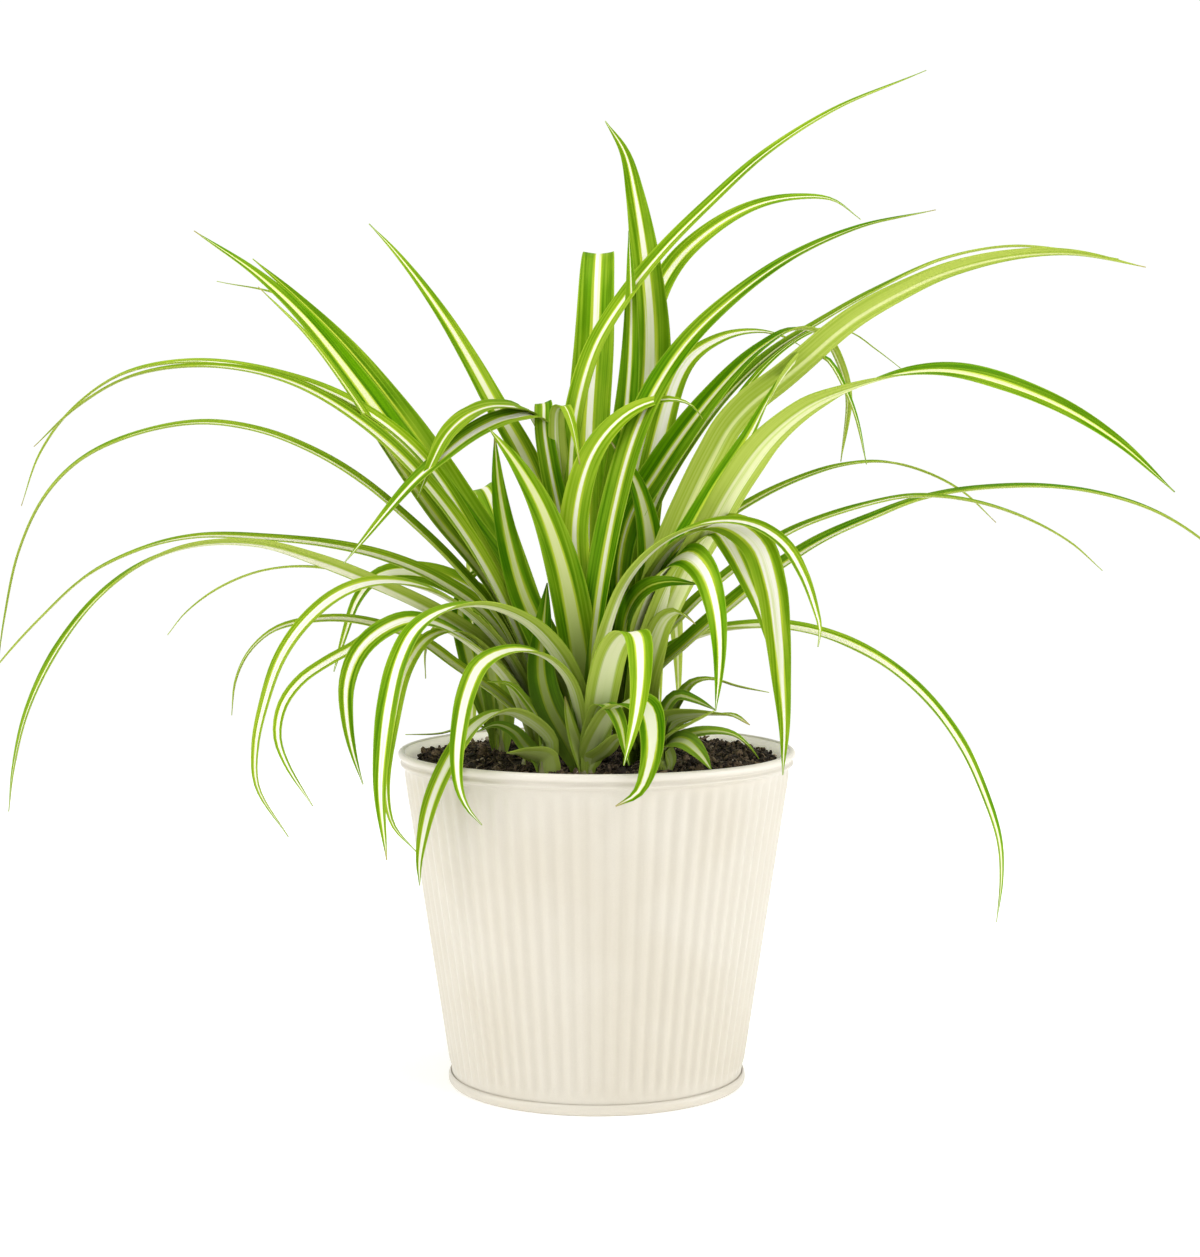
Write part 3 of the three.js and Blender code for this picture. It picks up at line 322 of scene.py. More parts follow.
def make_piece(name, bm, material, nodes, ride=True):
    """Turns a bmesh in millimetres into an object in metres, standing for the CAD nodes."""
    bmesh.ops.scale(bm, vec=(MM, MM, MM), verts=bm.verts)
    mesh = bpy.data.meshes.new(name)
    bm.to_mesh(mesh)
    bm.free()
    mesh.shade_smooth()
    piece = bpy.data.objects.new(name, mesh)
    bpy.context.scene.collection.objects.link(piece)
    mesh.materials.append(material)
    if ride:
        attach(piece, "root")
        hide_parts(*nodes)
    return piece


class Graph:
    """Short ways to add shader nodes. A value that is a socket is linked, any other is set."""

    def __init__(self, name):
        self.material = bpy.data.materials.new(name)
        self.material.use_nodes = True
        self.tree = self.material.node_tree
        self.tree.nodes.clear()
        self.output = self.tree.nodes.new("ShaderNodeOutputMaterial")

    def put(self, socket, value):
        if isinstance(value, bpy.types.NodeSocket):
            self.tree.links.new(value, socket)
        elif isinstance(value, (tuple, list)) and len(value) == 3 and socket.type == "RGBA":
            socket.default_value = (*value, 1)
        else:
            socket.default_value = value

    def node(self, kind, inputs=None, **props):
        node = self.tree.nodes.new("ShaderNode" + kind)
        for key, value in props.items():
            setattr(node, key, value)
        for key, value in (inputs or {}).items():
            self.put(node.inputs[key], value)
        return node

    def attribute(self, name):
        return self.node("Attribute", attribute_name=name).outputs["Fac"]

    def math(self, operation, *values, clamp=False):
        node = self.node("Math", operation=operation, use_clamp=clamp)
        for i, value in enumerate(values):
            self.put(node.inputs[i], value)
        return node.outputs[0]

    def ramp(self, value, low, high, to_low=0.0, to_high=1.0):
        inputs = {"Value": value, "From Min": low, "From Max": high,
                  "To Min": to_low, "To Max": to_high}
        return self.node("MapRange", inputs, interpolation_type="SMOOTHSTEP").outputs[0]

    def vector(self, x=0.0, y=0.0, z=0.0):
        return self.node("CombineXYZ", {"X": x, "Y": y, "Z": z}).outputs[0]

    def noise(self, vector, scale=1.0, detail=2.0, roughness=0.5):
        inputs = {"Vector": vector, "Scale": scale, "Detail": detail, "Roughness": roughness}
        return self.node("TexNoise", inputs, noise_dimensions="3D").outputs["Fac"]

    def mix(self, factor, a, b, blend="MIX"):
        node = self.node("Mix", data_type="RGBA", blend_type=blend)
        self.put(node.inputs["Factor"], factor)
        self.put(node.inputs[6], a)
        self.put(node.inputs[7], b)
        return node.outputs[2]

    def bump(self, height, strength, distance):
        inputs = {"Height": height, "Strength": strength, "Distance": distance}
        return self.node("Bump", inputs).outputs[0]

    def coords(self):
        return self.node("TexCoord").outputs["Object"]

    def surface(self, shader):
        self.tree.links.new(shader, self.output.inputs["Surface"])
        return self.material


def rgb(*values):
    """Screen colour, 0 to 255, as the linear values that a shader takes."""
    return tuple(((v / 255 + 0.055) / 1.055) ** 2.4 if v > 10 else v / 255 / 12.92 for v in values)


# ---------------------------------------------------------------- materials
def leaf_material():
    """Green margins, a pale streaked stripe along the middle, a yellow-green line between them, and
    painted shade in the crowded middle.
    """
    g = Graph("variegated_leaf")
    across = g.attribute("across")       # -1 to 1
    run = g.attribute("run")             # millimetres from the root
    half = g.attribute("half")           # half the width here, millimetres
    seed = g.attribute("leaf")
    stripe = g.attribute("stripe")       # share of the width that the pale stripe takes
    under = g.attribute("under")
    tip = g.attribute("tip")             # millimetres to the tip
    # The tone is partly the leaf's own green and partly painted shade for leaves that sit in shadow.
    tone = g.attribute("tone")           # -1 dark to 1 light
    warm = g.attribute("warm")           # 0 white stripe to 1 yellow-cream stripe
    crowd_shade = g.attribute("crowd_shade")           # how far inside the crowded, shaded middle

    wide = g.math("MULTIPLY", across, half)
    shift = g.math("MULTIPLY", seed, 91.0)
    streaks = g.noise(g.vector(g.math("MULTIPLY", wide, 1.25), g.math("MULTIPLY", run, 0.011), shift),
                      detail=1.2, roughness=0.5)
    broad = g.noise(g.vector(g.math("MULTIPLY", wide, 0.5), g.math("MULTIPLY", run, 0.008), shift),
                    detail=1.0)
    cloud = g.noise(g.vector(g.math("MULTIPLY", wide, 0.15), g.math("MULTIPLY", run, 0.03), shift))

    away = g.math("ABSOLUTE", across)
    waver = g.math("MULTIPLY_ADD", g.math("SUBTRACT", streaks, 0.5), 0.22, away)
    waver = g.math("MULTIPLY_ADD", g.math("SUBTRACT", broad, 0.5), 0.22, waver)
    edge = g.math("SUBTRACT", waver, stripe)

    # Upper face: cream stripe with faint green streaks, a lime line, then streaked green.
    cream = g.mix(warm, rgb(246, 243, 232), rgb(222, 226, 158))
    cream = g.mix(g.math("MULTIPLY", g.ramp(streaks, 0.50, 0.76), 0.6), cream, rgb(208, 220, 132))
    # Painted shade: the stripe is tinted green towards the root, as by light that comes through other
    # leaves, more so for yellow-cream stripes.
    root_shade = g.math("MULTIPLY", g.ramp(run, 20.0, 120.0, 1.0, 0.0),
                   g.math("MULTIPLY_ADD", warm, 0.4, 0.35))
    cream = g.mix(root_shade, cream, rgb(194, 210, 108))
    light = g.mix(g.ramp(streaks, 0.34, 0.66), rgb(162, 186, 50), rgb(122, 160, 8))
    dark = g.mix(g.ramp(streaks, 0.34, 0.66), rgb(96, 150, 0), rgb(60, 112, 0))
    depth = g.math("ADD", g.ramp(tone, -1.0, 1.0, 1.0, 0.0),
                   g.ramp(cloud, 0.3, 0.7, -0.3, 0.3), clamp=True)
    green = g.mix(depth, light, dark)
    lime = rgb(192, 208, 62)
    upper = g.mix(g.ramp(edge, -0.07, 0.0), cream, lime)
    upper = g.mix(g.ramp(edge, 0.0, 0.14), upper, green)
    upper = g.mix(g.math("MULTIPLY", g.ramp(away, 0.88, 1.0), 0.45), upper, rgb(184, 210, 62))

    # Under face: the same pattern, paler, duller and with less contrast.
    pale_green = g.mix(g.ramp(streaks, 0.35, 0.65), rgb(176, 192, 84), rgb(154, 176, 60))
    pale_cream = g.mix(warm, rgb(234, 232, 206), rgb(214, 220, 148))
    pale_cream = g.mix(g.ramp(streaks, 0.46, 0.75), pale_cream, rgb(196, 210, 122))
    # The same painted green shade towards the root on the under face.
    pale_cream = g.mix(root_shade, pale_cream, rgb(190, 206, 108))
    lower = g.mix(g.ramp(edge, -0.04, 0.14), pale_cream, pale_green)
    colour = g.mix(under, upper, lower)

    # Paler at the root, now and then dry at the tip, and painted shade in the crowded middle, where
    # the leaves keep light out.
    base = g.ramp(run, 4.0, 58.0, 1.0, 0.0)
    colour = g.mix(g.math("MULTIPLY", base, 0.6), colour, rgb(156, 178, 76))
    dry = g.math("MULTIPLY", g.ramp(tip, 0.0, 6.0, 1.0, 0.0), g.ramp(seed, 0.76, 0.78))
    colour = g.mix(g.math("MULTIPLY", dry, 0.7), colour, rgb(186, 164, 104))
    value = g.ramp(g.math("FRACT", g.math("MULTIPLY", seed, 7.31)), 0.0, 1.0, 0.93, 1.07)
    colour = g.node("HueSaturation", {"Saturation": 1.0, "Value": value, "Color": colour}).outputs[0]
    colour = g.mix(crowd_shade, colour, g.mix(1.0, colour, rgb(146, 162, 88), "MULTIPLY"))

    normal = g.bump(broad, 0.05, 0.0003)
    rough = g.math("ADD", g.ramp(streaks, 0.3, 0.7, 0.42, 0.54), g.math("MULTIPLY", under, 0.12))
    skin = g.node("BsdfPrincipled", {
        "Base Color": colour, "Roughness": rough, "Normal": normal, "Specular IOR Level": 0.03})
    glow = g.node("BsdfTranslucent", {"Color": g.mix(0.3, colour, rgb(200, 222, 20))})
    both = g.node("MixShader")
    g.put(both.inputs[0], 0.16)
    g.put(both.inputs[1], skin.outputs[0])
    g.put(both.inputs[2], glow.outputs[0])
    return g.surface(both.outputs[0])


def paint_material():
    """Cream satin paint on sheet metal, with a faint grain and a few soft, slightly warmer clouds,
    painted light on the inner face, painted shade in the grooves and a painted highlight on the rim.
    """
    g = Graph("cream_paint")
    place_at = g.coords()
    grain = g.noise(place_at, 2600.0, 2.0)
    cloud = g.noise(place_at, 22.0, 3.0)
    colour = g.mix(g.ramp(cloud, 0.35, 0.68), rgb(202, 196, 183), rgb(198, 191, 176))
    colour = g.mix(g.math("MULTIPLY", g.ramp(grain, 0.4, 0.62), 0.10), colour, rgb(181, 174, 157))
    x, y, z = g.node("SeparateXYZ", {"Vector": place_at}).outputs
    radius = g.math("SQRT", g.math("ADD", g.math("MULTIPLY", x, x), g.math("MULTIPLY", y, y)))

    # The inner face above the soil is lifted, as by light that is bounced into the pot.
    wall = g.math("MULTIPLY_ADD", g.math("SUBTRACT", z, 0.1185), 0.1505, 0.0699)
    inside = g.math("MULTIPLY", g.ramp(g.math("SUBTRACT", wall, radius), 0.0002, 0.0005),
                    g.ramp(z, 0.10, 0.11))
    colour = g.mix(inside, colour, rgb(250, 247, 238))

    # Painted shade darkens the grooves between the flutes a little, and a painted highlight lightens
    # the top of the rolled rim a little.
    around = g.math("COSINE", g.math("MULTIPLY", g.math("ARCTAN2", y, x), FLUTES))
    groove_shade = g.math("MULTIPLY", g.ramp(around, -1.0, 0.3, 0.06, 0.0), g.ramp(z, 0.006, 0.010))
    groove_shade = g.math("MULTIPLY", groove_shade, g.ramp(z, 0.112, 0.116, 1.0, 0.0))
    colour = g.mix(groove_shade, colour, rgb(176, 169, 152))
    # Painted highlight along the top of the rolled rim.
    colour = g.mix(g.ramp(z, 0.1192, 0.1203, 0.0, 0.4), colour, rgb(224, 219, 208))
    rough = g.ramp(cloud, 0.3, 0.7, 0.40, 0.50)
    normal = g.bump(grain, 0.10, 0.0002)
    skin = g.node("BsdfPrincipled", {
        "Base Color": colour, "Roughness": rough, "Normal": normal, "Specular IOR Level": 0.4,
        "Coat Weight": 0.45, "Coat Roughness": 0.3, "Emission Color": rgb(250, 244, 230),
        "Emission Strength": g.math("MULTIPLY", inside, 0.3)})
    return g.surface(skin.outputs[0])


def soil_material():
    """Dark moist compost: near black, with brown clods and pale dusty specks."""
    g = Graph("compost")
    place_at = g.coords()
    clods = g.noise(place_at, 420.0, 5.0, 0.65)
    patch = g.noise(place_at, 70.0, 2.0)
    specks = g.noise(place_at, 1700.0, 2.0)
    colour = g.mix(g.ramp(clods, 0.38, 0.66), rgb(18, 15, 12), rgb(56, 45, 35))
    colour = g.mix(g.math("MULTIPLY", g.ramp(patch, 0.42, 0.7), 0.5), colour, rgb(52, 40, 30))
    colour = g.mix(g.math("MULTIPLY", g.ramp(specks, 0.66, 0.74), 0.6), colour, rgb(136, 118, 98))
    normal = g.bump(clods, 0.9, 0.0012)
    skin = g.node("BsdfPrincipled", {
        "Base Color": colour, "Roughness": 0.88, "Normal": normal, "Specular IOR Level": 0.25})
    return g.surface(skin.outputs[0])


def crumb_material():
    """Loose bits on the soil. Their tone comes from the piece: 0 is peat, 1 is a pale chip."""
    g = Graph("compost_bits")
    place_at = g.coords()
    tone = g.attribute("tone")
    fibre = g.noise(place_at, 1500.0, 3.0)
    dark = g.mix(g.ramp(fibre, 0.35, 0.65), rgb(20, 16, 13), rgb(50, 40, 31))
    brown = g.mix(g.ramp(fibre, 0.35, 0.65), rgb(80, 65, 50), rgb(122, 104, 84))
    pale = g.mix(g.ramp(fibre, 0.35, 0.65), rgb(150, 134, 114), rgb(196, 184, 166))
    colour = g.mix(g.ramp(tone, 0.25, 0.75), dark, brown)
    colour = g.mix(g.ramp(tone, 0.86, 0.97), colour, pale)
    skin = g.node("BsdfPrincipled", {
        "Base Color": colour, "Roughness": 0.85, "Specular IOR Level": 0.25,
        "Normal": g.bump(fibre, 0.5, 0.0005)})
    return g.surface(skin.outputs[0])


def crown_material():
    """Pale green-white leaf bases at the soil."""
    g = Graph("leaf_bases")
    place_at = g.coords()
    height = g.node("SeparateXYZ", {"Vector": place_at}).outputs["Z"]
    streaks = g.noise(g.node("VectorMath", {0: place_at, 1: (900.0, 900.0, 40.0)},
                             operation="MULTIPLY").outputs[0], 1.0, 3.0)
    colour = g.mix(g.ramp(streaks, 0.35, 0.65), rgb(158, 174, 104), rgb(122, 146, 66))
    colour = g.mix(g.ramp(height, 0.1205, 0.128, 0.75, 0.0), colour, rgb(150, 140, 104))
    skin = g.node("BsdfPrincipled", {
        "Base Color": colour, "Roughness": 0.5, "Specular IOR Level": 0.4,
        "Normal": g.bump(streaks, 0.3, 0.0004)})
    return g.surface(skin.outputs[0])


def floor_material():
    """Near-white matte studio floor."""
    g = Graph("studio_floor")
    grain = g.noise(g.coords(), 900.0, 2.0)
    colour = g.mix(g.ramp(grain, 0.3, 0.7), rgb(253, 253, 252), rgb(250, 250, 249))
    skin = g.node("BsdfPrincipled", {
        "Base Color": colour, "Roughness": 0.9, "Specular IOR Level": 0.1,
        "Emission Color": (1.0, 1.0, 1.0), "Emission Strength": 0.25,
        "Normal": g.bump(grain, 0.05, 0.0002)})
    return g.surface(skin.outputs[0])


# ---------------------------------------------------------------- pot
def turned(profile, sectors, steps, closed=True):
    """A profile of (radius, height) points, spun through one sector and repeated round the axis."""
    bm = bmesh.new()
    verts = [bm.verts.new((radius, 0, height)) for radius, height in profile]
    ring = verts + verts[:1] if closed else verts
    edges = [bm.edges.new(pair) for pair in zip(ring, ring[1:])]
    sector = 2 * math.pi / sectors
    bmesh.ops.spin(bm, geom=verts + edges, axis=(0, 0, 1), cent=(0, 0, 0),
                   angle=sector, steps=steps)
    bmesh.ops.spin(bm, geom=bm.verts[:] + bm.edges[:] + bm.faces[:], axis=(0, 0, 1), cent=(0, 0, 0),
                   angle=sector * (sectors - 1), steps=sectors - 1, use_duplicate=True)
    bmesh.ops.remove_doubles(bm, verts=bm.verts, dist=1e-4)
    bmesh.ops.recalc_face_normals(bm, faces=bm.faces)
    return bm


def wall_radius(height):
    """Middle of the fluted wall at a height."""
    share = (height - FLUTE_FOOT) / (FLUTE_TOP - FLUTE_FOOT)
    return WALL_FOOT_RADIUS + (WALL_TOP_RADIUS - WALL_FOOT_RADIUS) * share


def arc(cx, cz, radius, start, end, count):
    """Points (radius, height) on a rounded edge, angles in degrees, anticlockwise positive."""
    turn = [math.radians(start + (end - start) * i / count) for i in range(count + 1)]
    return [(cx + radius * math.cos(a), cz + radius * math.sin(a)) for a in turn]


def build_pot_wall(material):
    """The fluted wall with its step and rolled rim. The flutes run out at both ends."""
    outer = [(53.3, 1.5), (53.4, 4.0), (53.5, 6.5)]
    heights = [FLUTE_FOOT + (FLUTE_TOP - FLUTE_FOOT) * i / 24 for i in range(25)]
    outer += [(wall_radius(z), z) for z in heights]
    outer += [(69.95, 115.6), (70.1, 116.6)]
    outer += arc(70.85, 117.9, 0.85, -80, 60, 6)
    outer += [(71.15, 119.05), (71.2, 119.4)]
    rim = arc(RIM_RADIUS - RIM_BEAD, RIM_BEAD_HEIGHT, RIM_BEAD, -62, 180, 14)
    inner = [(69.5, 120.4), (69.1, 118.6)]
    inner += [(wall_radius(z) - SHEET, z) for z in reversed(heights)]
    inner += [(52.5, 1.5)]
    bm = turned(outer + rim + inner, FLUTES, 12)
    for vert in bm.verts:
        x, y, z = vert.co
        fade = smoothstep(5.0, 9.5, z) * (1 - smoothstep(112.5, 116.0, z))
        if fade <= 0:
            continue
        radius = math.hypot(x, y)
        wave = math.cos(FLUTES * math.atan2(y, x))
        swell = 1 + FLUTE_DEPTH * fade * wave / radius
        vert.co.x = x * swell
        vert.co.y = y * swell
    return make_piece("ribbed_wall", bm, material, ["pot_wall"])


def build_pot_base(material):
    """The pressed pan, whose folded edge is the foot ring."""
    profile = [(0.0, 0.0), (20.0, 0.0), (40.0, 0.0), (52.8, 0.0)]
    profile += arc(53.2, 1.4, 1.4, -90, 0, 6)
    profile += [(54.6, 2.2), (54.5, 2.9), (54.2, 3.6), (53.85, 4.0), (53.6, 3.9)]
    profile += [(53.6, 1.2), (52.2, 1.2), (52.2, 4.7), (51.9, 5.0), (51.5, 4.8), (51.4, 1.0)]
    profile += [(40.0, 1.0), (20.0, 1.0), (0.0, 1.0)]
    bm = turned(profile, 24, 10, closed=False)
    return make_piece("foot_pan", bm, material, ["pot_base"])


# ---------------------------------------------------------------- soil
def soil_height(x, y):
    """Height of the soil's dished, lumpy top."""
    radius = math.hypot(x, y)
    dished = SOIL_EDGE - SOIL_DISH * (1 - (radius / SOIL_TOP_RADIUS) ** 2)
    lumps = 0.35 * math.sin(x * 0.23 + 1.3) * math.cos(y * 0.19 - 0.4)
    return dished + lumps + 0.2 * math.sin(x * 0.51 - y * 0.37)


def build_soil(material):
    """The root ball, with a crumbling top and a rough edge against the pot."""
    profile = [(0.0, 1.4), (30.0, 1.4), (50.4, 1.4), (50.8, 5.6)]
    profile += [(50.8 + 17.2 * i / 12, 5.6 + 107.4 * i / 12) for i in range(1, 13)]
    profile += [(67.6, 115.0), (67.1, 116.4), (66.6, 117.6), (66.0, 118.6), (65.2, SOIL_EDGE)]
    radius = 64.4
    while radius > 0.9:
        profile.append((radius, SOIL_EDGE))
        radius -= 0.8
    profile.append((0.0, SOIL_EDGE))
    bm = turned(profile, 30, 10, closed=False)
    for vert in bm.verts:
        if vert.co.z < 112:
            continue
        rough = noise.fractal(vert.co * 0.22, 0.9, 2.1, 5)
        fine = noise.noise(vert.co * 1.3)
        if vert.co.z > SOIL_EDGE - 0.5:
            vert.co.z = soil_height(vert.co.x, vert.co.y) - 0.5 + 0.75 * rough + 0.25 * fine
        else:
            inward = 0.5 + 0.5 * rough + 0.25 * fine
            flat = Vector((vert.co.x, vert.co.y, 0)).normalized()
            vert.co -= flat * max(inward, 0.0) * smoothstep(112, 117, vert.co.z)
    return make_piece("root_ball", bm, material, ["soil"])


def crumb(bm, rng, layer, size, flatness, at, tone):
    """One loose bit: a small rough ball or chip, sunk a little into the soil."""
    made = bmesh.ops.create_icosphere(bm, subdivisions=1, radius=1.0)
    verts = made["verts"]
    twist = Matrix.Rotation(rng.uniform(0, 6.28), 4,
                            Vector((rng.uniform(-1, 1), rng.uniform(-1, 1), 1)))
    offset = Vector((rng.uniform(0, 50), rng.uniform(0, 50), 0))
    stretch = Vector((rng.uniform(0.7, 1.5), rng.uniform(0.6, 1.0), flatness))
    tilt = Matrix.Rotation(rng.gauss(0, 0.45), 4, "X") @ Matrix.Rotation(rng.gauss(0, 0.45), 4, "Y")
    for vert in verts:
        rough = 1 + 0.35 * noise.noise(vert.co * 1.4 + offset)
        shaped = Vector((vert.co.x * stretch.x, vert.co.y * stretch.y, vert.co.z * stretch.z)) * rough
        vert.co = at + (tilt @ (twist @ shaped)) * size
        vert[layer] = tone


def fibre(bm, rng, layer, at, length, tone):
    """One thin root or straw: a narrow strip, bent once or twice."""
    steps = 5
    made = bmesh.ops.create_grid(bm, x_segments=1, y_segments=steps, size=1.0)
    heading = rng.uniform(0, 6.28)
    bend = rng.uniform(-1.4, 1.4)
    rise = rng.uniform(-0.1, 0.45)
    width = rng.uniform(0.12, 0.28)
    for vert in made["verts"]:
        t = (vert.co.y + 1) / 2
        angle = heading + bend * t
        along = length * (t - 0.5)
        side = vert.co.x * width * (1 - 0.6 * abs(2 * t - 1))
        vert.co = at + Vector((
            along * math.cos(angle) - side * math.sin(angle),
            along * math.sin(angle) + side * math.cos(angle),
            rise * length * t * (1 - t) * 2 + abs(side) * 0.6,
        ))
        vert[layer] = tone


def free_of_crowns(x, y, margin):
    """Whether a place on the soil is clear of every crown."""
    for crown in ROSETTES.values():
        if math.hypot(x - crown["x"], y + crown["depth"]) < crown["radius"] + margin:
            return False
    return True


def crumb_spot(rng, reach):
    """A random place on the soil, off the crowns: (x, y, distance from the axis)."""
    while True:
        radius = reach * math.sqrt(rng.random())
        angle = rng.uniform(0, 2 * math.pi)
        x, y = radius * math.cos(angle), radius * math.sin(angle)
        if free_of_crowns(x, y, 0.5):
            return x, y, radius


def crumb_batch(rng, crumbs, fibres):
    """A handful of loose bits as a mesh of their own, which is quick to make."""
    bm = bmesh.new()
    layer = bm.verts.layers.float.new("tone")
    for _ in range(crumbs):
        x, y, _ = crumb_spot(rng, 65.2)
        z = soil_height(x, y)
        kind = rng.random()
        if kind < 0.80:
            size = min(rng.lognormvariate(-0.55, 0.45), 1.9)
            crumb(bm, rng, layer, size, rng.uniform(0.5, 0.9), Vector((x, y, z + 0.1 * size)),
                  min(rng.random() ** 2.2, 0.8))
        elif kind < 0.985:
            size = min(rng.lognormvariate(0.1, 0.4), 3.0)
            crumb(bm, rng, layer, size, 0.22, Vector((x, y, z + 0.25 * size)), rng.uniform(0.2, 0.85))
        else:
            size = rng.uniform(0.5, 1.1)
            crumb(bm, rng, layer, size, 0.6, Vector((x, y, z + 0.3 * size)), rng.uniform(0.9, 1.0))
    for _ in range(fibres):
        x, y, radius = crumb_spot(rng, 63.5)
        length = min(rng.uniform(4.0, 13.0), max(2.0, 2 * (65 - radius)))
        fibre(bm, rng, layer, Vector((x, y, soil_height(x, y) + 0.6)), length, rng.uniform(0.4, 0.93))
    mesh = bpy.data.meshes.new("batch")
    bm.to_mesh(mesh)
    bm.free()
    return mesh


def build_crumbs(material):
    """All the loose bits on the soil, as one piece."""
    rng = random.Random(CRUMB_SEED)
    bm = bmesh.new()
    bm.verts.layers.float.new("tone")
    for _ in range(CRUMB_BATCHES):
        mesh = crumb_batch(rng, CRUMBS_IN_BATCH, FIBRES_IN_BATCH)
        bm.from_mesh(mesh)
        bpy.data.meshes.remove(mesh)
    return make_piece("soil_bits", bm, material, ["soil"])


# ---------------------------------------------------------------- leaves
def place(sideways, height, depth):
    """From the course as seen to the real place."""
    nearness = (EYE_DISTANCE - depth) / EYE_DISTANCE
    return Vector((sideways * nearness, -depth, EYE_HEIGHT + (height - EYE_HEIGHT) * nearness))


def spline(points, per_span=16):
    """Smooth curve through the points, with the distance run at each of its samples."""
    ends = [2 * points[0] - points[1], *points, 2 * points[-1] - points[-2]]
    knots = [0.0]
    for a, b in zip(ends, ends[1:]):
        knots.append(knots[-1] + math.sqrt((b - a).length))
    samples = []
    for i in range(1, len(ends) - 2):
        k0, k1, k2, k3 = knots[i - 1:i + 3]
        p0, p1, p2, p3 = ends[i - 1:i + 3]
        for step in range(per_span):
            k = k1 + (k2 - k1) * step / per_span
            a1 = p0.lerp(p1, (k - k0) / (k1 - k0))
            a2 = p1.lerp(p2, (k - k1) / (k2 - k1))
            a3 = p2.lerp(p3, (k - k2) / (k3 - k2))
            b1 = a1.lerp(a2, (k - k0) / (k2 - k0))
            b2 = a2.lerp(a3, (k - k1) / (k3 - k1))
            samples.append(b1.lerp(b2, (k - k1) / (k2 - k1)))
    samples.append(points[-1].copy())
    runs = [0.0]
    for a, b in zip(samples, samples[1:]):
        runs.append(runs[-1] + (b - a).length)
    return samples, runs


def leaf_width(width, at):
    """Width of a blade at a share of its length: narrow root, full middle, fine tip."""
    rise = min(at / FULL_WIDTH_AT, 1)
    body = BASE_SHARE + (1 - BASE_SHARE) * rise * (2 - rise)
    return max(width * body * (1 - at ** TAPER) ** 0.9, 0.0)


# Places across a blade, closer together towards its edges.
COLUMNS = [-1.0, -0.95, -0.82, -0.64, -0.44, -0.22, 0.0, 0.22, 0.44, 0.64, 0.82, 0.95, 1.0]


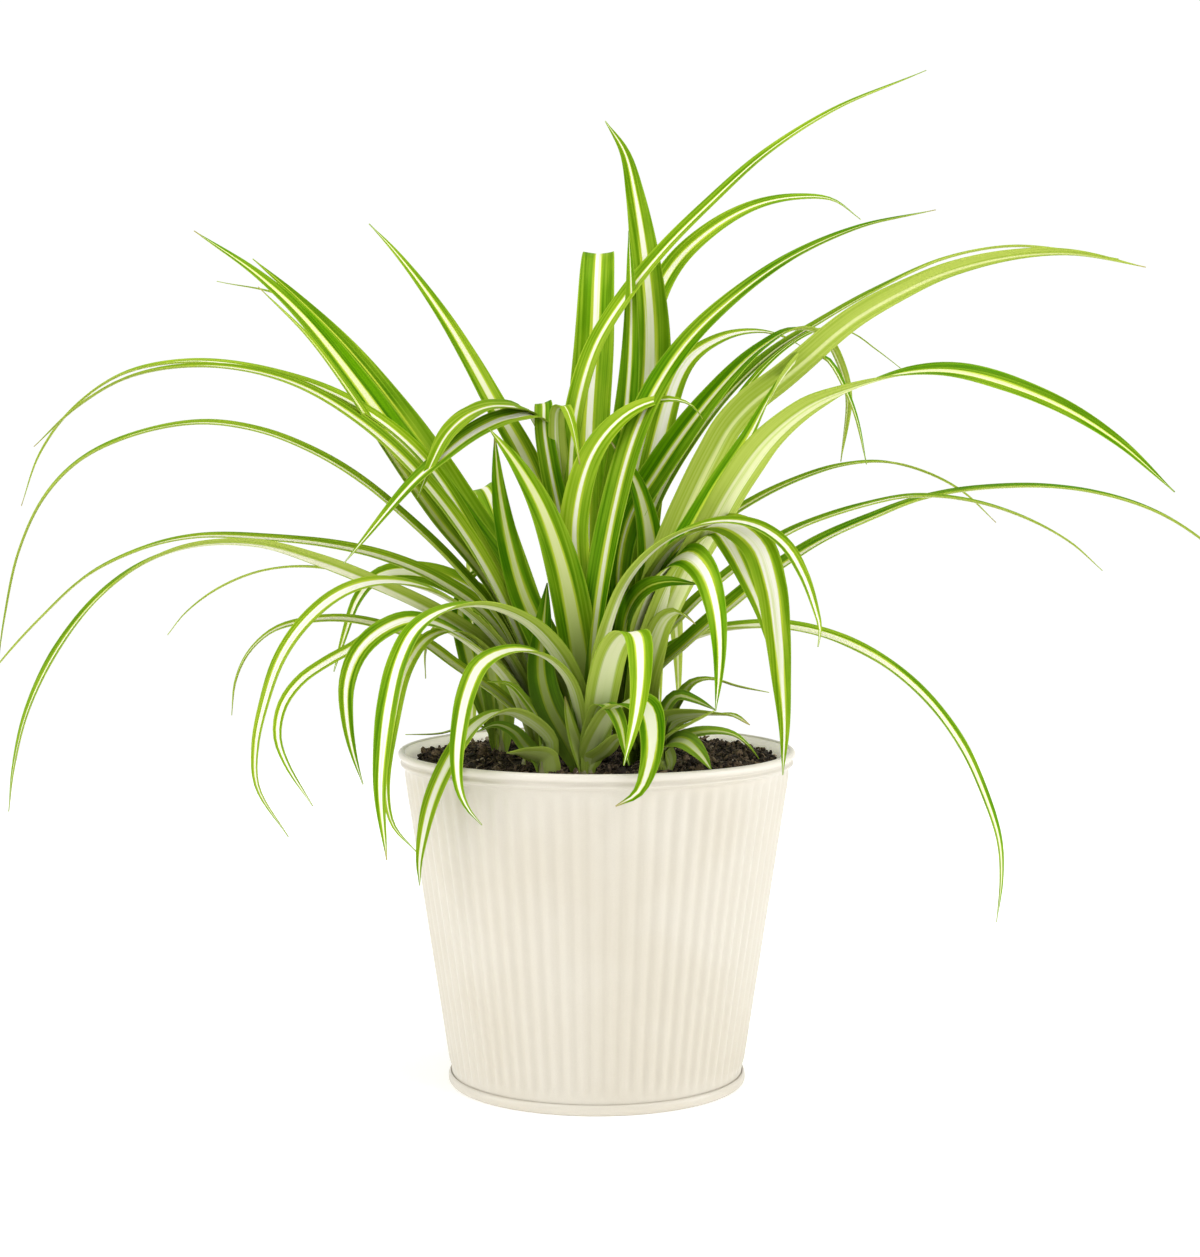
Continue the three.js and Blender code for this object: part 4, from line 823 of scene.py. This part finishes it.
def build_leaf(bm, layers, rng, crown, width, stripe, tone, warm, turns, course):
    """One channelled blade along its course, a closed thin body with an upper and an under face."""
    points = [place(*step) for step in course]
    root = Vector((crown["x"], -crown["depth"], LEAF_FOOT))
    outward = (points[1] - root).xy.to_3d()
    if outward.length > crown["radius"] * ROOT_SPREAD:
        outward = outward.normalized() * crown["radius"] * ROOT_SPREAD
    root += outward
    points3d = [root, *points] if points[0].z > LEAF_FOOT + 2 else [root, *points[1:]]
    points3d.insert(0, root - Vector((0, 0, LEAF_SHEATH)))
    samples, runs = spline(points3d)
    length = runs[-1]

    far = max(((point - root).xy.to_3d() for point in points), key=lambda step: step.length)
    heading = far.normalized()
    across = Vector((0, 0, 1)).cross(heading)
    sign = 1 if heading.x > 0 else -1
    turn_table = [(i / (len(turns) - 1), value) for i, value in enumerate(turns)]

    rows = max(ROWS_LEAST, min(ROWS_MOST, round(length / ROW_LENGTH)))
    seed = rng.random()
    phase = rng.uniform(0, 100)
    frames = []
    k = 0
    for row in range(rows + 1):
        at = row / rows
        run = at * length
        while k < len(runs) - 2 and runs[k + 1] < run:
            k += 1
        share = (run - runs[k]) / (runs[k + 1] - runs[k])
        centre = samples[k].lerp(samples[k + 1], share)
        before = samples[max(k - 2, 0)]
        after = samples[min(k + 3, len(samples) - 1)]
        along = (after - before).normalized()
        side = (across - along * across.dot(along)).normalized()
        up = along.cross(side)
        turn = math.radians(sign * lerp_table(turn_table, at))
        spin = Matrix.Rotation(turn, 3, along)
        half = leaf_width(width, at) / 2
        fold = math.radians(lerp_table(FOLD, at))
        frames.append((centre, spin @ side, spin @ up, half, fold, run))

    made = bmesh.ops.create_grid(bm, x_segments=len(COLUMNS) - 1, y_segments=rows, size=1.0)
    cells = {face for vert in made["verts"] for face in vert.link_faces}
    top = made["verts"]
    for vert in top:
        column = round((vert.co.x + 1) / 2 * (len(COLUMNS) - 1))
        row = round((vert.co.y + 1) / 2 * rows)
        vert[layers["mark"]] = column + 100 * row + 1
    grown = bmesh.ops.extrude_face_region(bm, geom=list(cells), use_keep_orig=True)
    bottom = [item for item in grown["geom"] if isinstance(item, bmesh.types.BMVert)]
    every = set(cells)
    for vert in bottom:
        every.update(vert.link_faces)
    for group, under in ((top, 0.0), (bottom, 1.0)):
        for vert in group:
            mark = vert[layers["mark"]] - 1
            column, row = mark % 100, mark // 100
            centre, side, up, half, fold, run = frames[row]
            u = COLUMNS[column]
            ripple = 0.10 * noise.noise(Vector((run * 0.05, u * 2, phase)))
            real_half = max(half * (1 + 0.05 * noise.noise(Vector((run * 0.03, phase, u)))),
                            HALF_WIDTH_LEAST)
            lift = abs(u) ** 1.15 * real_half * math.sin(fold)
            thick = BLADE_THICKNESS - (BLADE_THICKNESS - EDGE_THICKNESS) * abs(u)
            thick *= 0.62 - 0.3 * smoothstep(0.8, 1.0, abs(u))
            thick *= min(1.0, 0.35 + real_half / 2.0)
            vert.co = centre + side * (u * real_half * math.cos(fold))
            vert.co += up * (lift + ripple * real_half * 0.3 - thick * under)
            vert[layers["across"]] = u
            vert[layers["run"]] = run
            vert[layers["half"]] = real_half
            vert[layers["tip"]] = length - run
            vert[layers["leaf"]] = seed
            vert[layers["stripe"]] = stripe * (1.3 - 0.7 * run / length)
            vert[layers["tone"]] = tone
            vert[layers["under"]] = under
            vert[layers["warm"]] = warm
            # Painted shade: darker low in the crowded middle, where the leaves keep light out; a tone
            # below -1 adds more painted shade.
            off = math.hypot(vert.co.x - CROWD_X, vert.co.y - CROWD_Y) / CROWD_REACH
            inside = 1 - smoothstep(0.4, 1.1, off)
            low = 1 - smoothstep(150, 195, vert.co.z)
            vert[layers["crowd_shade"]] = max(inside * low, -1 - tone)
    bmesh.ops.recalc_face_normals(bm, faces=list(every))


def build_rosette(name, crown, leaf_paint, base_paint):
    """One crown: all its leaves as one piece, and the sheathed stock they grow from as another."""
    rng = random.Random(name)
    bm = bmesh.new()
    layers = {key: bm.verts.layers.float.new(key)
              for key in ("across", "run", "half", "tip", "leaf", "stripe", "tone", "under", "warm",
                          "crowd_shade")}
    layers["mark"] = bm.verts.layers.int.new("mark")
    for blade in crown["leaves"]:
        build_leaf(bm, layers, rng, crown, *blade)
    bm.verts.layers.int.remove(layers["mark"])
    make_piece(name + "_leaves", bm, leaf_paint, [name])

    stock = bmesh.new()
    bmesh.ops.create_cone(stock, cap_ends=True, segments=64, radius1=crown["radius"],
                          radius2=crown["radius"] * 0.8, depth=CROWN_TOP - CROWN_FOOT)
    sides = [edge for edge in stock.edges if abs(edge.verts[0].co.z - edge.verts[1].co.z) > 1]
    bmesh.ops.subdivide_edges(stock, edges=sides, cuts=20)
    for vert in stock.verts:
        x, y, z = vert.co
        angle = math.atan2(y, x)
        share = (z + (CROWN_TOP - CROWN_FOOT) / 2) / (CROWN_TOP - CROWN_FOOT)
        sheath = abs(math.sin(2.5 * angle + 1.7 * share + crown["x"]))
        shrink = (0.52 + 0.12 * sheath) * (1 - 0.9 * smoothstep(0.4, 0.95, share))
        vert.co.x = x * shrink + crown["x"]
        vert.co.y = y * shrink - crown["depth"]
        vert.co.z = z + (CROWN_TOP + CROWN_FOOT) / 2
    make_piece(name + "_stock", stock, base_paint, [name])


# ---------------------------------------------------------------- the object
cream = paint_material()
build_pot_wall(cream)
build_pot_base(cream)
build_soil(soil_material())
build_crumbs(crumb_material())
leaf_paint = leaf_material()
base_paint = crown_material()
for rosette_name, crown_data in ROSETTES.items():
    build_rosette(rosette_name, crown_data, leaf_paint, base_paint)

# ---------------------------------------------------------------- studio
floor = bmesh.new()
bmesh.ops.create_circle(floor, cap_ends=True, segments=96, radius=1000)
stage_floor = make_piece("studio_floor", floor, floor_material(), [], ride=False)


def area_light(name, location, target, size, power):
    """A round white lamp that faces its target. Metres and watts."""
    data = bpy.data.lights.new(name, "AREA")
    data.shape = "DISK"
    data.size = size
    data.energy = power
    lamp = bpy.data.objects.new(name, data)
    lamp.location = location
    lamp.rotation_euler = (Vector(target) - Vector(location)).to_track_quat("-Z", "Y").to_euler()
    bpy.context.scene.collection.objects.link(lamp)


area_light("side_left", (-1.9, -0.5, 0.35), (0, 0, 0.08), 1.4, 13)
area_light("side_right", (1.9, -0.4, 0.35), (0, 0, 0.08), 1.4, 16)
area_light("key_left", (-1.3, -1.3, 1.7), (0, 0, 0.2), 1.0, 15)
area_light("key_right", (1.3, -1.3, 1.7), (0, 0, 0.2), 1.0, 12)
area_light("overhead", (0.1, -0.1, 2.2), (0, 0, 0.1), 1.6, 22)

# The surround is white near the horizon and dimmer overhead, like a lit cove under a dark ceiling.
world = bpy.data.worlds.new("studio")
world.use_nodes = True
sky = world.node_tree
background = sky.nodes["Background"]
direction = sky.nodes.new("ShaderNodeSeparateXYZ")
sky.links.new(sky.nodes.new("ShaderNodeTexCoord").outputs["Generated"], direction.inputs[0])
fade = sky.nodes.new("ShaderNodeMapRange")
fade.interpolation_type = "SMOOTHSTEP"
for socket, value in (("From Min", 0.2), ("From Max", 0.6), ("To Min", 1.02), ("To Max", 0.35)):
    fade.inputs[socket].default_value = value
sky.links.new(direction.outputs["Z"], fade.inputs["Value"])
sky.links.new(fade.outputs[0], background.inputs["Strength"])
background.inputs["Color"].default_value = (1, 1, 1, 1)
bpy.context.scene.world = world

bpy.context.scene.view_settings.view_transform = "Standard"
bpy.context.scene.view_settings.look = "None"

camera_data = bpy.data.cameras.new("camera")
camera_data.lens = 72.2
camera_data.sensor_width = 36
camera = bpy.data.objects.new("camera", camera_data)
camera.location = (EYE_SIDE * MM, -EYE_DISTANCE * MM, EYE_HEIGHT * MM)
camera.rotation_euler = (math.pi / 2 - EYE_TILT, 0, 0)
bpy.context.scene.collection.objects.link(camera)
bpy.context.scene.camera = camera
